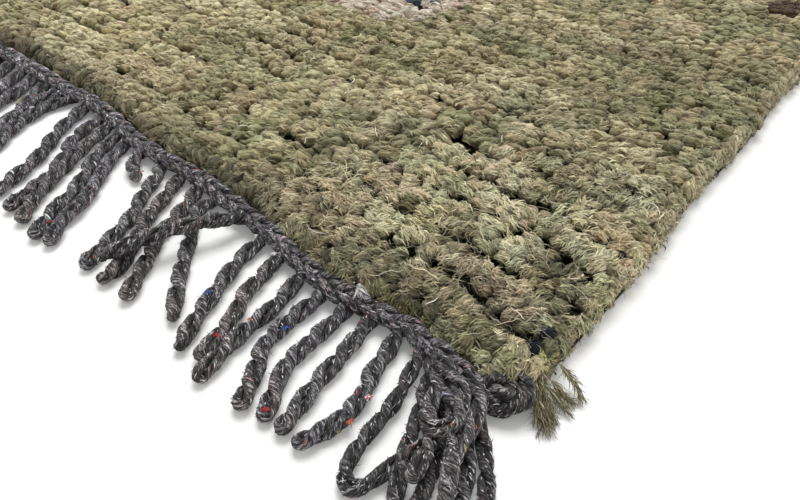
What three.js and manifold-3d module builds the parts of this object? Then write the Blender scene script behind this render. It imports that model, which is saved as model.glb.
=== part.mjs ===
// A small hand-knotted wool rug, lying flat: the pile cloth, a twined heading cord along each end,
// a fringe of twisted warp ends along each heading, and the finish of one corner.
// Millimetres, +Z up, warp along Y. The rug rests on z = 0.
import * as THREE from 'three';
import { mergeVertices } from 'three/addons/utils/BufferGeometryUtils.js';
import Module from 'manifold-3d';

const wasm = await Module();
wasm.setup();

// The pile cloth.
const FIELD_WIDTH = 600;
const FIELD_LENGTH = 860;
const CORNER_RADIUS = 22;
const SIDE_STEP = 40;
const CORNER_STEPS = 5;
// The pile rolls over every edge: how far in from the outline, and how high.
const EDGE_ROLL = [
  { inset: 4.5, up: 0 },
  { inset: 0, up: 5 },
  { inset: 1.2, up: 11 },
  { inset: 5, up: 15.5 },
  { inset: 12, up: 17 },
];
// The ends aren't straight: how far each stands in from the full length, along the rug's width.
// Every piece along an end turns at the same stations, so that the seams between them stay even.
const STATION_STEP = 20;
const END_EDGES = [
  { across: -300, front: 22, back: 3 },
  { across: -200, front: 27, back: 0 },
  { across: -100, front: 31, back: 5 },
  { across: 0, front: 30, back: 9 },
  { across: 50, front: 21, back: 7 },
  { across: 95, front: 22, back: 2 },
  { across: 140, front: 17, back: 1 },
  { across: 200, front: 6, back: 2 },
  { across: 250, front: 10, back: 4 },
  { across: 280, front: 1, back: 7 },
  { across: 300, front: 0, back: 8 },
];
// The sides draw in towards the middle of the rug's length, and sway a little.
const SIDE_WAIST = 4.5;
const SIDE_SWAY = 1.2;
const SIDE_SWAY_LENGTH = 170;

// The heading: two plied yarns twined side by side over the warp.
const SEAM_GAP = 0.3;
const HEADING_INSET = 19;
const HEADING_SECTION = [
  { out: 0.6, up: 0 },
  { out: 0, up: 3 },
  { out: 0.3, up: 6.8 },
  { out: 2.4, up: 8.8 },
  { out: 4.7, up: 7.8 },
  { out: 7, up: 8.4 },
  { out: 9.2, up: 6.2 },
  { out: 9.5, up: 2.6 },
  { out: 8.6, up: 0 },
];
const HEADING_WIDTH = 9.5;

// The fringe: warp ends twisted into cords, one comb along each heading.
const CORD_PITCH = 14.3;
const CORD_WIDTH = 7.4;
const CORD_HEIGHT = 7.2;
const CORD_SECTION = [
  { side: -0.28, up: 0 },
  { side: 0.28, up: 0 },
  { side: 0.5, up: 0.45 },
  { side: 0.28, up: 1 },
  { side: -0.28, up: 1 },
  { side: -0.5, up: 0.45 },
];
const CORD_RINGS = [
  { along: 0, size: 0.9 },
  { along: 0.5, size: 1 },
  { along: 0.95, size: 0.95 },
  { along: 1, size: 0.6 },
];
const CORD_BOW = 2.2;
// Uneven from cord to cord: each sway is a sine of the cord's number times its rhythm.
const BOW_RHYTHM = 3.1;
const REACH_RHYTHM = 1.7;
const LEAN_RHYTHM = 2.4;
const COMB_BACK = 3.5;
const CORD_ROOT = 2.9;
const COMB_BACK_HEIGHT = 6;
const FRINGE_REACH = 65;
const FRINGE_REACH_SWAY = 6;
const FRINGE_REACH_SKEW = 3;
const LEAN_SWAY = 4;
const FRONT_COMB = { from: -291, cords: 38, steepLean: 33, slightLean: 11, leanFrom: 20, leanTo: 250 };
const BACK_COMB = { from: -286, cords: 41, steepLean: 14, slightLean: -9, leanFrom: -250, leanTo: 250 };
// A few front cords lie another way than their neighbours, two of them across one.
const STRAY_CORDS = [
  { cord: 27, lean: 44 },
  { cord: 30, lean: -14 },
  { cord: 34, lean: 27 },
];

// The corner bunch: the last warp ends and the heading's own ends, gathered and lying in a heap.
const BUNCH_CENTRE = 268;
const BUNCH_LEAN = 32;
const BUNCH_ROOT_GAP = 0.6;
const BUNCH_SQUARED = 24;
const BUNCH_LOBES = 3;
const BUNCH_LOBE_DEPTH = 0.14;
const BUNCH_SECTION_STEPS = 12;
const BUNCH = [
  { along: 0, wide: 28, high: 9 },
  { along: 8, wide: 33, high: 15 },
  { along: 24, wide: 34, high: 17 },
  { along: 42, wide: 33, high: 15 },
  { along: 54, wide: 31, high: 11 },
  { along: 62, wide: 22, high: 6 },
];

// The corner loop: the heading cord's doubled end, laid round the corner of the pile.
// Turns round the corner are in degrees, from straight out of the front end to straight out of the side.
const LOOP_SIDES = 10;
const LOOP_STEPS = 10;
const LOOP_HALF_WIDE = 4.2;
const LOOP_HALF_HIGH = 6.2;
const LOOP_GAP = 0.6;
const LOOP_FROM = 15;
const LOOP_TO = 53;
const LOOP_END_SIZE = 0.62;

// The loose yarn ends: tails of the last row's pile yarn, fanned out from the same corner.
const TAIL_GAP = 0.8;
const TAIL_ROOT = 2.2;
const TAIL_HALF_TURN = 4.6;
const TAIL_HEIGHT = 5;
const TAILS = [
  { turn: 61, long: 11, skew: 3 },
  { turn: 71, long: 9, skew: -2 },
  { turn: 81, long: 14, skew: 4 },
  { turn: 91, long: 12, skew: -1 },
];

const radians = (degrees) => THREE.MathUtils.degToRad(degrees);

// Places across the rug from one x to another: both ends and each station between them.
function stations(from, to) {
  const places = [from];
  for (let x = Math.ceil(from / STATION_STEP) * STATION_STEP; x < to; x += STATION_STEP) {
    if (x > from) places.push(x);
  }
  return [...places, to];
}

// The inset of one end at a place across the rug, eased from row to row of the table.
function easedInset(end, x) {
  const last = END_EDGES.length - 1;
  const clamped = THREE.MathUtils.clamp(x, END_EDGES[0].across, END_EDGES[last].across);
  const row = Math.min(END_EDGES.findLastIndex((entry) => entry.across <= clamped), last - 1);
  const left = END_EDGES[row];
  const right = END_EDGES[row + 1];
  const eased = THREE.MathUtils.smoothstep(clamped, left.across, right.across);
  return left[end] + (right[end] - left[end]) * eased;
}

// The same inset, straight from station to station.
function endInset(end, x) {
  const before = Math.floor(x / STATION_STEP) * STATION_STEP;
  const share = (x - before) / STATION_STEP;
  return THREE.MathUtils.lerp(easedInset(end, before), easedInset(end, before + STATION_STEP), share);
}

// The y of the pile's edge at each end.
const frontEdge = (x) => -FIELD_LENGTH / 2 + endInset('front', x);
const backEdge = (x) => FIELD_LENGTH / 2 - endInset('back', x);

// The x of the pile's edge at each side.
const sideEdge = (sign, y) => {
  const sway = SIDE_SWAY * Math.sin((2 * Math.PI * y) / SIDE_SWAY_LENGTH + sign);
  const waist = SIDE_WAIST * (1 - ((2 * y) / FIELD_LENGTH) ** 2);
  return sign * (FIELD_WIDTH / 2 - SIDE_SWAY - waist) + sway;
};

// Joins rings of points into one closed body, with a fan over the first and the last ring.
function loft(rings) {
  const around = rings[0].length;
  const positions = rings.flat().flatMap((point) => [point.x, point.y, point.z]);
  const index = [];
  for (let ring = 0; ring < rings.length - 1; ring += 1) {
    for (let k = 0; k < around; k += 1) {
      const next = (k + 1) % around;
      const low = ring * around;
      const high = low + around;
      index.push(low + k, low + next, high + next, low + k, high + next, high + k);
    }
  }
  const capStarts = [0, (rings.length - 1) * around];
  capStarts.forEach((start, side) => {
    const centre = new THREE.Vector3();
    rings[side ? rings.length - 1 : 0].forEach((point) => centre.addScaledVector(point, 1 / around));
    const hub = positions.length / 3;
    positions.push(centre.x, centre.y, centre.z);
    for (let k = 0; k < around; k += 1) {
      const next = (k + 1) % around;
      index.push(hub, side ? start + k : start + next, side ? start + next : start + k);
    }
  });
  const geometry = new THREE.BufferGeometry();
  geometry.setAttribute('position', new THREE.Float32BufferAttribute(positions, 3));
  geometry.setIndex(index);
  geometry.computeVertexNormals();
  return geometry;
}

// A closed geometry as a solid that can be joined, and back again.
function solidOf(geometry) {
  const merged = mergeVertices(geometry.clone().deleteAttribute('normal'));
  return new wasm.Manifold(
    new wasm.Mesh({
      numProp: 3,
      vertProperties: new Float32Array(merged.attributes.position.array),
      triVerts: new Uint32Array(merged.index.array),
    }),
  );
}

function geometryOf(solid) {
  const { vertProperties, triVerts } = solid.getMesh();
  const geometry = new THREE.BufferGeometry();
  geometry.setAttribute('position', new THREE.Float32BufferAttribute(vertProperties, 3));
  geometry.setIndex(Array.from(triVerts));
  geometry.computeVertexNormals();
  return geometry;
}

// The pile's outline, anticlockwise from the front left corner, with the direction out at each point.
function fieldOutline() {
  const outline = [];
  const halfWidth = FIELD_WIDTH / 2 - CORNER_RADIUS;
  const halfLength = FIELD_LENGTH / 2 - CORNER_RADIUS;
  const alongSteps = Math.round((2 * halfLength) / SIDE_STEP);
  const corner = (x, y, startAngle) => {
    const centreX = x - Math.sign(x) * CORNER_RADIUS;
    const centreY = y - Math.sign(y) * CORNER_RADIUS;
    for (let k = 1; k < CORNER_STEPS; k += 1) {
      const angle = startAngle + (Math.PI / 2) * (k / CORNER_STEPS);
      const out = new THREE.Vector2(Math.cos(angle), Math.sin(angle));
      const point = new THREE.Vector2(centreX, centreY).addScaledVector(out, CORNER_RADIUS);
      outline.push({ point, out });
    }
  };
  const end = (edge, out) => {
    const run = stations(-halfWidth, halfWidth).map((x) => ({ point: new THREE.Vector2(x, edge(x)), out }));
    outline.push(...(out.y < 0 ? run : run.reverse()));
  };
  const side = (sign, out) => {
    for (let k = 0; k <= alongSteps; k += 1) {
      const y = sign * THREE.MathUtils.lerp(-halfLength, halfLength, k / alongSteps);
      outline.push({ point: new THREE.Vector2(sideEdge(sign, y), y), out });
    }
  };
  end(frontEdge, new THREE.Vector2(0, -1));
  corner(sideEdge(1, -halfLength), frontEdge(halfWidth), -Math.PI / 2);
  side(1, new THREE.Vector2(1, 0));
  corner(sideEdge(1, halfLength), backEdge(halfWidth), 0);
  end(backEdge, new THREE.Vector2(0, 1));
  corner(sideEdge(-1, halfLength), backEdge(-halfWidth), Math.PI / 2);
  side(-1, new THREE.Vector2(-1, 0));
  corner(sideEdge(-1, -halfLength), frontEdge(-halfWidth), Math.PI);
  return outline;
}

function fieldGeometry() {
  const outline = fieldOutline();
  const ringAt = ({ inset, up }) =>
    outline.map(({ point, out }) => new THREE.Vector3(point.x - out.x * inset, point.y - out.y * inset, up));
  return loft(EDGE_ROLL.map(ringAt));
}

// A heading cord: its section swept along one end. sign is -1 at the front, 1 at the back.
function headingGeometry(sign) {
  const edge = sign < 0 ? frontEdge : backEdge;
  const halfWidth = FIELD_WIDTH / 2 - HEADING_INSET;
  const rings = stations(-halfWidth, halfWidth).map((x) => {
    const ring = HEADING_SECTION.map(
      ({ out, up }) => new THREE.Vector3(x, edge(x) + sign * (SEAM_GAP + out), up),
    );
    return sign < 0 ? ring : ring.reverse();
  });
  return loft(rings);
}

// How far a cord leans from the warp, at its place across the rug.
function cordLean(comb, x, k) {
  const stray = STRAY_CORDS.find((row) => comb === FRONT_COMB && row.cord === k);
  const eased = THREE.MathUtils.smoothstep(x, comb.leanFrom, comb.leanTo);
  const shared = THREE.MathUtils.lerp(comb.steepLean, comb.slightLean, eased);
  return stray ? stray.lean : shared + LEAN_SWAY * Math.sin(LEAN_RHYTHM * k);
}

// How far from the middle of the rug's length a cord's tip lies.
function cordReach(x, k) {
  const skew = (FRINGE_REACH_SKEW * x) / (FIELD_WIDTH / 2);
  const sway = FRINGE_REACH_SWAY * (0.5 + 0.5 * Math.sin(REACH_RHYTHM * k));
  return FIELD_LENGTH / 2 + FRINGE_REACH + skew - sway;
}

// One cord of a fringe: a six-sided bar from its root to its tip, flat underneath and bowed a little.
function cordGeometry(root, tip, bow) {
  const forward = new THREE.Vector2().subVectors(tip, root).normalize();
  const side = new THREE.Vector2(-forward.y, forward.x);
  const rings = CORD_RINGS.map(({ along, size }) => {
    const centre = root.clone().lerp(tip, along).addScaledVector(side, bow * Math.sin(Math.PI * along));
    return CORD_SECTION.map((corner) => {
      const place = centre.clone().addScaledVector(side, corner.side * CORD_WIDTH * size);
      return new THREE.Vector3(place.x, place.y, corner.up * CORD_HEIGHT * size);
    });
  });
  return loft(rings);
}

// The comb's back: a low bar along the heading, which all the cords of one end grow from.
function combBackGeometry(comb, sign, backLine) {
  const last = comb.from + (comb.cords - 1) * CORD_PITCH;
  const rings = stations(comb.from - CORD_WIDTH / 2, last + CORD_WIDTH / 2).map((x) => {
    const inner = backLine(x);
    const outer = inner + sign * COMB_BACK;
    const ring = [
      new THREE.Vector3(x, inner, 0),
      new THREE.Vector3(x, inner, COMB_BACK_HEIGHT),
      new THREE.Vector3(x, outer, COMB_BACK_HEIGHT),
      new THREE.Vector3(x, outer, 0),
    ];
    return sign < 0 ? ring : ring.reverse();
  });
  return loft(rings);
}

// A fringe: one comb, its back along the heading and one tooth for each twisted cord.
function combGeometry(comb, sign) {
  const edge = sign < 0 ? frontEdge : backEdge;
  const backLine = (x) => edge(x) + sign * (2 * SEAM_GAP + HEADING_WIDTH);
  let body = solidOf(combBackGeometry(comb, sign, backLine));
  for (let k = 0; k < comb.cords; k += 1) {
    const x = comb.from + k * CORD_PITCH;
    const root = new THREE.Vector2(x, backLine(x) + sign * CORD_ROOT);
    const reach = cordReach(x, k);
    const sideways = (reach - Math.abs(root.y)) * Math.tan(radians(cordLean(comb, x, k)));
    const tip = new THREE.Vector2(x + sideways, sign * reach);
    body = body.add(solidOf(cordGeometry(root, tip, CORD_BOW * Math.sin(BOW_RHYTHM * k))));
  }
  return geometryOf(body);
}

// The corner bunch: a heap with a flat underside and soft lobes on top, leaning with the fringe.
// Its root lies straight along the heading, and its sections square up as they leave it.
function bunchGeometry() {
  const headingOuter = (x) => frontEdge(x) - SEAM_GAP - HEADING_WIDTH - BUNCH_ROOT_GAP;
  const left = BUNCH_CENTRE - BUNCH[0].wide / 2;
  const right = FIELD_WIDTH / 2 - HEADING_INSET;
  const rootLine = (x) => THREE.MathUtils.mapLinear(x, left, right, headingOuter(left), headingOuter(right));
  const rings = BUNCH.map(({ along, wide, high }) => {
    const centre = BUNCH_CENTRE + along * Math.tan(radians(BUNCH_LEAN));
    const ring = [];
    for (let k = 0; k <= BUNCH_SECTION_STEPS; k += 1) {
      const angle = (Math.PI * k) / BUNCH_SECTION_STEPS;
      const lobe = 1 - BUNCH_LOBE_DEPTH * Math.abs(Math.sin(BUNCH_LOBES * angle));
      const x = centre + (wide / 2) * Math.cos(angle);
      const root = THREE.MathUtils.lerp(rootLine(x), rootLine(right), Math.min(along / BUNCH_SQUARED, 1));
      ring.push(new THREE.Vector3(x, root - along, high * Math.sin(angle) * lobe));
    }
    return ring;
  });
  return loft(rings);
}

// A place outside the rounded front right corner: its turn round the corner, and its distance out.
function besideCorner(turn, out) {
  const halfLength = FIELD_LENGTH / 2 - CORNER_RADIUS;
  const centreX = sideEdge(1, -halfLength) - CORNER_RADIUS;
  const centreY = frontEdge(FIELD_WIDTH / 2 - CORNER_RADIUS) + CORNER_RADIUS;
  const angle = radians(turn - 90);
  const reach = CORNER_RADIUS + out;
  return new THREE.Vector2(centreX + reach * Math.cos(angle), centreY + reach * Math.sin(angle));
}

// The loop round the corner: a doubled cord, thickest in its middle.
function loopGeometry() {
  const rings = [];
  for (let k = 0; k <= LOOP_STEPS; k += 1) {
    const t = k / LOOP_STEPS;
    const size = THREE.MathUtils.lerp(LOOP_END_SIZE, 1, Math.sqrt(Math.sin(Math.PI * t)));
    const ring = [];
    for (let side = 0; side < LOOP_SIDES; side += 1) {
      const round = (2 * Math.PI * side) / LOOP_SIDES;
      const out = LOOP_GAP + LOOP_HALF_WIDE * (1 - size * Math.cos(round));
      const place = besideCorner(THREE.MathUtils.lerp(LOOP_FROM, LOOP_TO, t), out);
      ring.push(new THREE.Vector3(place.x, place.y, LOOP_HALF_HIGH * (1 + size * Math.sin(round))));
    }
    rings.push(ring);
  }
  return loft(rings);
}

// The loose yarn ends: pointed tails side by side from one root, lying on the floor.
function tailsGeometry() {
  const outer = TAIL_GAP + TAIL_ROOT;
  const outline = TAILS.flatMap(({ turn, long, skew }) => [
    besideCorner(turn - TAIL_HALF_TURN, outer),
    besideCorner(turn + skew, outer + long),
    besideCorner(turn + TAIL_HALF_TURN, outer),
  ]);
  const inner = TAILS.map(({ turn }) => besideCorner(turn, TAIL_GAP));
  const shape = new THREE.Shape([...outline, ...inner.reverse()]);
  return new THREE.ExtrudeGeometry(shape, { depth: TAIL_HEIGHT, bevelEnabled: false });
}

const wool = (color) => new THREE.MeshStandardMaterial({ color, roughness: 0.95, metalness: 0 });

function piece(name, geometry, color) {
  const mesh = new THREE.Mesh(geometry, wool(color));
  mesh.name = name;
  return mesh;
}

const OLIVE = '#8f866b';
const CHARCOAL = '#4b4850';

const rug = new THREE.Group();
rug.add(piece('field', fieldGeometry(), OLIVE));
rug.add(piece('heading_front', headingGeometry(-1), CHARCOAL));
rug.add(piece('heading_back', headingGeometry(1), CHARCOAL));
rug.add(piece('fringe_front', combGeometry(FRONT_COMB, -1), CHARCOAL));
rug.add(piece('fringe_back', combGeometry(BACK_COMB, 1), CHARCOAL));
rug.add(piece('corner_bunch', bunchGeometry(), CHARCOAL));
rug.add(piece('corner_loop', loopGeometry(), CHARCOAL));
rug.add(piece('yarn_tails', tailsGeometry(), OLIVE));

// The origin is at the middle of the whole rug's box, on the surface that it lies on.
const middle = new THREE.Box3().setFromObject(rug).getCenter(new THREE.Vector3());
rug.position.set(-middle.x, -middle.y, 0);

export default rug;
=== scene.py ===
"""A small hand-knotted wool rug, lying flat: its finish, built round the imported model.

Shapes are worked out in millimetres in the rug's own frame, warp along Y, the middle of the pile
cloth at x = 0, y = 0, the floor at z = 0. mesh_piece() brings them to metres in the model's frame.
"""
import math

import bpy
import numpy as np
from mathutils import Matrix, Vector


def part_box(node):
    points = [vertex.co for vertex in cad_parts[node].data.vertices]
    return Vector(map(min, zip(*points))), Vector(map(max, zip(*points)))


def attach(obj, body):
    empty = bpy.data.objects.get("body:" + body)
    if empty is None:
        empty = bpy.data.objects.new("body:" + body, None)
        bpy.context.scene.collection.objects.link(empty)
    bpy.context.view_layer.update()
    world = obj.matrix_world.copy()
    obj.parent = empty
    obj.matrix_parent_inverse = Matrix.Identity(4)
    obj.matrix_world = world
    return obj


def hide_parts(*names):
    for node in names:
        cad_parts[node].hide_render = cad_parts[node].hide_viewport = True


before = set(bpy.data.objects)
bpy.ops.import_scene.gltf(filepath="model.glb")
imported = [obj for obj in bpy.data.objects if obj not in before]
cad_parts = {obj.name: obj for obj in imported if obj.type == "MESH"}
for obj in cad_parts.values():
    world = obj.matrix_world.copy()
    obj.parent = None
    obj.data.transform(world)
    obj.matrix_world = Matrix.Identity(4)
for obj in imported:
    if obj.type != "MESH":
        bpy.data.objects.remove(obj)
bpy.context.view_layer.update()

# ---- Sizes, in millimetres ----------------------------------------------------------------

# The pile cloth. Its edges repeat the model's.
FIELD_WIDTH = 600
FIELD_LENGTH = 860
CORNER_RADIUS = 22
STATION_STEP = 20
END_ACROSS = (-300, -200, -100, 0, 50, 95, 140, 200, 250, 280, 300)
END_FRONT = (22, 27, 31, 30, 21, 22, 17, 6, 10, 1, 0)
END_BACK = (3, 0, 5, 9, 7, 2, 1, 2, 4, 7, 8)
SIDE_WAIST = 4.5
SIDE_SWAY = 1.2
SIDE_SWAY_LENGTH = 170

# The ground weave that the knots are tied on.
WEAVE_LOW = 0.6
WEAVE_HIGH = 3.2
WEAVE_INSET = 4.0
WEAVE_COLUMNS = 20
WEAVE_ROWS = 30

# The pile: knots in rows, the rows packed three to a band.
KNOT_PITCH_ACROSS = 7.1
KNOT_PITCH_ALONG = 8.4
ROWS_PER_BAND = 3
PILE_HEIGHT = 16.4
# In knots: how far every other row stands aside, how far a band's outer rows are drawn in to its middle
# one, and how far a knot is out of its place across and along.
ROW_SHIFT = 0.3
BAND_SQUEEZE = 0.3
SCATTER_ACROSS = 0.14
SCATTER_ALONG = 0.09
# No knot stands nearer than this to the outline.
KNOT_INSET = 2.5
# The last knots stand this far in from the sides, and their tufts spread over them.
SIDE_TUCK = 4.6
# The knots of a band mat together in clumps about this wide.
CLUMP_WIDTH = 18.0
# So far apart, what is drawn for one band says nothing of the next.
BAND_SEED_STEP = 97.0
# How unevenly the knots stand, singly and in lumps of this size, how far they dip where two clumps part,
# how much deeper a gap between bands is, and how far forward the pile slants for each unit up.
KNOT_RELIEF = 0.8
LUMP_RELIEF = 1.35
LUMP_SIZE = 16
CLUMP_DIP = 1.5
GAP_DEPTH = 3.0
PILE_SLANT = 0.42
# How much each row of a band stands up, and the tone of the pile along the rug, in broad bands.
BAND_CROWN = (1.4, 0.8, -2.9)
ABRASH_ALONG = (-430, -320, -60, 130, 300, 430)
ABRASH_TONE = (1.0, 1.0, 0.7, 0.72, 0.85, 0.95)
# The pile's surface near an edge: inset from the outline, height, and lean away from upright.
ROLL_INSET = (0.0, 1.2, 5.0, 12.0, 20.0)
ROLL_HEIGHT = (5.0, 11.0, 15.0, PILE_HEIGHT, PILE_HEIGHT)
ROLL_LEAN = (88.0, 66.0, 34.0, 12.0, 0.0)
TUFT_LENGTH = 11.5
# The rings of tufts that roll over the edges: their height, their tilt from upright, and whether they run
# along the ends as well as the sides. Then how far apart they are, and the draws that place a ring.
EDGE_RINGS = ((11.5, 62, True), (6.6, 84, True), (2.6, 96, False))
EDGE_PITCH = 6.3
EDGE_DRAWS = 136
EDGE_TUFT_LENGTH = 8.0
# Each knot shows two cut ends, one behind the other, longer along the row than across it.
END_APART = 2.1
END_HALF_LONG = 4.3
END_HALF_WIDE = 2.95
# How fast the streaks' pattern passes along a tuft and up it, where across it is 1: they run along it.
STRAND_STRETCH = 0.3
STRAND_RISE = 0.7
# How dark the painted shade at the foot of a tuft is, at the front right corner and far from it.
DEEP_SHADE = (0.1, 0.62)
# A tuft's rings: how far up it and how wide. Where it is matted it is rounder.
BRUSHED_RINGS = ((0.3, 0.85), (0.8, 0.96))
MATTED_RINGS = ((0.3, 0.88), (0.68, 1.0), (0.91, 0.74))
# By distance from the front right corner: from, to, how many sides a tuft has, its rings, how
# stout and how long it is, how fine its streaks are and how quickly its painted shade darkens downwards.
TUFT_ZONES = (
    (0, 170, 5, BRUSHED_RINGS, 1.0, 1.0, 1.0, 2.0),
    (170, 380, 5, BRUSHED_RINGS, 1.12, 1.18, 0.5, 2.4),
    (380, 2000, 6, MATTED_RINGS, 1.28, 1.1, 0.5, 2.3),
)
# By distance from the front right corner: how many locks lie over each cut end's crown and up its
# flank, how wide they are and how uneven in tone.
BRUSHED = ((0, 170, 21, 7, 0.4, 0.33), (170, 380, 5, 2, 0.5, 0.13))

# A lock over a crown starts this far behind its middle and is this long. One up a flank starts this far
# up it, this far out from its stem.
CROWN_BEHIND = (-0.6, 4.0)
CROWN_REACH = (2.6, 6.2)
FLANK_START = (0.35, 0.85)
FLANK_GIRTH = 3.1

# Loose hairs: how many, the seed of their draws, how long and wide they are, the share of them at the
# front right corner, and their colour.
HAIRS = (
    (1200, 91, 8.0, 0.2, 0.4, "a9a280"),
    (130, 92, 15.0, 0.22, 0.5, "dcd4b4"),
    (60, 93, 8.0, 0.4, 0.6, "f0ead8"),
)
HAIR_STEPS = 6
# Where they lie across and along the rug, and where the hairy corner is.
HAIRS_ACROSS = (-294, 294)
HAIRS_ALONG = (-425, 425)
HAIRY_ACROSS = (40, 296)
HAIRY_ALONG = (-425, -300)
# The tufts are this many pieces.
PILE_PIECES = 4

# The heading: two ropes of two yarns each, twined opposite ways.
SEAM_GAP = 0.3
HEADING_WIDTH = 9.5
HEADING_INSET = 19
HEADING_ROPES = ((3.0, 7.0, 1), (7.2, 6.2, -1))
HEADING_YARN = 1.65
HEADING_TWIST_RADIUS = 1.3
HEADING_TURN = 21.0
HEADING_STEP = 1.5
HEADING_SIDES = 8

# The fringe: warp yarns doubled back at their tips and twisted in pairs.
CORD_PITCH = 14.3
CORD_YARN = 1.8
CORD_TWIST_RADIUS = 1.75
CORD_TURN = 30.0
FRINGE_REACH = 65
FRINGE_REACH_SWAY = 6
FRINGE_REACH_SKEW = 3
LEAN_SWAY = 4
CORD_BOW = 2.2
# Uneven from cord to cord: each sway is a sine of the cord's number times its rhythm.
LEAN_RHYTHM = 2.4
REACH_RHYTHM = 1.7
BOW_RHYTHM = 3.1
# How far apart the rings of a yarn are and how many sides it has: in the front comb, in the cords near the
# corner, in the back comb, in the bunch and in the loop. Then how dense the fibres on it are.
FRONT_RINGS = (1.7, 10)
LAID_RINGS = (1.2, 10)
BACK_RINGS = (1.9, 8)
BUNCH_RINGS = (1.3, 10)
LOOP_RINGS = (1.2, 10)
FRONT_FUZZ = 0.2
BACK_FUZZ = 0.08
HEADING_FUZZ = 0.16
BUNCH_FUZZ = 0.25
LOOP_FUZZ = 0.2
# How high the middle of a cord is that lies on the floor, in the combs and near the corner.
COMB_LIFT = 3.7
LAID_LIFT = 3.6
COMB_STATIONS = 6
# How far a cord reaches in under the heading.
CORD_TUCK = 2.0
FRONT_COMB = {"from": -291, "cords": 17, "steep": 33, "slight": 11, "lean_from": 20, "lean_to": 250}
BACK_COMB = {"from": -286, "cords": 41, "steep": 14, "slight": -9, "lean_from": -250, "lean_to": 250}

# Nothing reaches lower than this above the floor.
REST_HEIGHT = 0.05

MM = 0.001


# ---- Small helpers ------------------------------------------------------------------------

def to_linear(colour):
    """An sRGB hex colour as linear red, green, blue and alpha."""
    parts = [int(colour[k : k + 2], 16) / 255 for k in (0, 2, 4)]
    return tuple(p / 12.92 if p <= 0.04045 else ((p + 0.055) / 1.055) ** 2.4 for p in parts) + (1.0,)


def dyes_of(*colours):
    """sRGB hex colours as rows of linear red, green and blue."""
    return np.array([to_linear(colour)[:3] for colour in colours])


def smoothstep(x, low, high):
    t = np.clip((x - low) / (high - low), 0, 1)
    return t * t * (3 - 2 * t)


def unit(vectors):
    return vectors / np.linalg.norm(vectors, axis=-1, keepdims=True)


def drift(x, y, size, seed):
    """Smooth unevenness from -1 to 1, in lumps of about one size."""
    cells = 64
    lattice = np.random.default_rng(seed).uniform(-1, 1, (cells, cells))
    u = np.asarray(x, float) / size
    v = np.asarray(y, float) / size
    i = np.floor(u).astype(int)
    j = np.floor(v).astype(int)
    s = smoothstep(u - i, 0, 1)
    t = smoothstep(v - j, 0, 1)
    i0, i1 = i % cells, (i + 1) % cells
    j0, j1 = j % cells, (j + 1) % cells
    low = lattice[i0, j0] * (1 - s) + lattice[i1, j0] * s
    high = lattice[i0, j1] * (1 - s) + lattice[i1, j1] * s
    return low * (1 - t) + high * t


def end_inset(insets, x):
    """How far an end stands in: eased from row to row of the table, straight between stations."""
    across = np.array(END_ACROSS, float)
    values = np.array(insets, float)

    def eased(place):
        clamped = np.clip(place, across[0], across[-1])
        row = np.clip(np.searchsorted(across, clamped, "right") - 1, 0, len(across) - 2)
        share = smoothstep((clamped - across[row]) / (across[row + 1] - across[row]), 0, 1)
        return values[row] + (values[row + 1] - values[row]) * share

    before = np.floor(np.asarray(x, float) / STATION_STEP) * STATION_STEP
    share = (x - before) / STATION_STEP
    return eased(before) * (1 - share) + eased(before + STATION_STEP) * share


def front_edge(x):
    return -FIELD_LENGTH / 2 + end_inset(END_FRONT, x)


def back_edge(x):
    return FIELD_LENGTH / 2 - end_inset(END_BACK, x)


def side_edge(sign, y):
    sway = SIDE_SWAY * np.sin(2 * np.pi * y / SIDE_SWAY_LENGTH + sign)
    waist = SIDE_WAIST * (1 - (2 * y / FIELD_LENGTH) ** 2)
    return sign * (FIELD_WIDTH / 2 - SIDE_SWAY - waist) + sway


def edge_of(x, y):
    """How far inside the outline each place is, and the way out of it there."""
    right, left = side_edge(1, y) - SIDE_TUCK - x, x - SIDE_TUCK - side_edge(-1, y)
    back, front = back_edge(x) - y, y - front_edge(x)
    from_side, from_end = np.minimum(right, left), np.minimum(back, front)
    sign_x, sign_y = np.where(right < left, 1, -1), np.where(back < front, 1, -1)
    in_x = np.clip(CORNER_RADIUS - from_side, 0, None)
    in_y = np.clip(CORNER_RADIUS - from_end, 0, None)
    corner = (in_x > 0) & (in_y > 0)
    reach = np.hypot(in_x, in_y) + 1e-9
    inset = np.where(corner, CORNER_RADIUS - reach, np.minimum(from_side, from_end))
    side_nearer = from_side < from_end
    out_x = np.where(corner, in_x / reach, np.where(side_nearer, 1, 0)) * sign_x
    out_y = np.where(corner, in_y / reach, np.where(side_nearer, 0, 1)) * sign_y
    return inset, np.stack([out_x, out_y, np.zeros_like(inset)], -1)


# The rug's frame in the model's: the headings give its middle and its back end.
heading_low, heading_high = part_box("heading_front")
back_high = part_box("heading_back")[1]
MIDDLE_X = (heading_low.x + heading_high.x) / 2
MIDDLE_Y = back_high.y - (FIELD_LENGTH / 2 + SEAM_GAP + HEADING_WIDTH) * MM


def to_model(points):
    return np.asarray(points, float) * MM + np.array([MIDDLE_X, MIDDLE_Y, 0])


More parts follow.
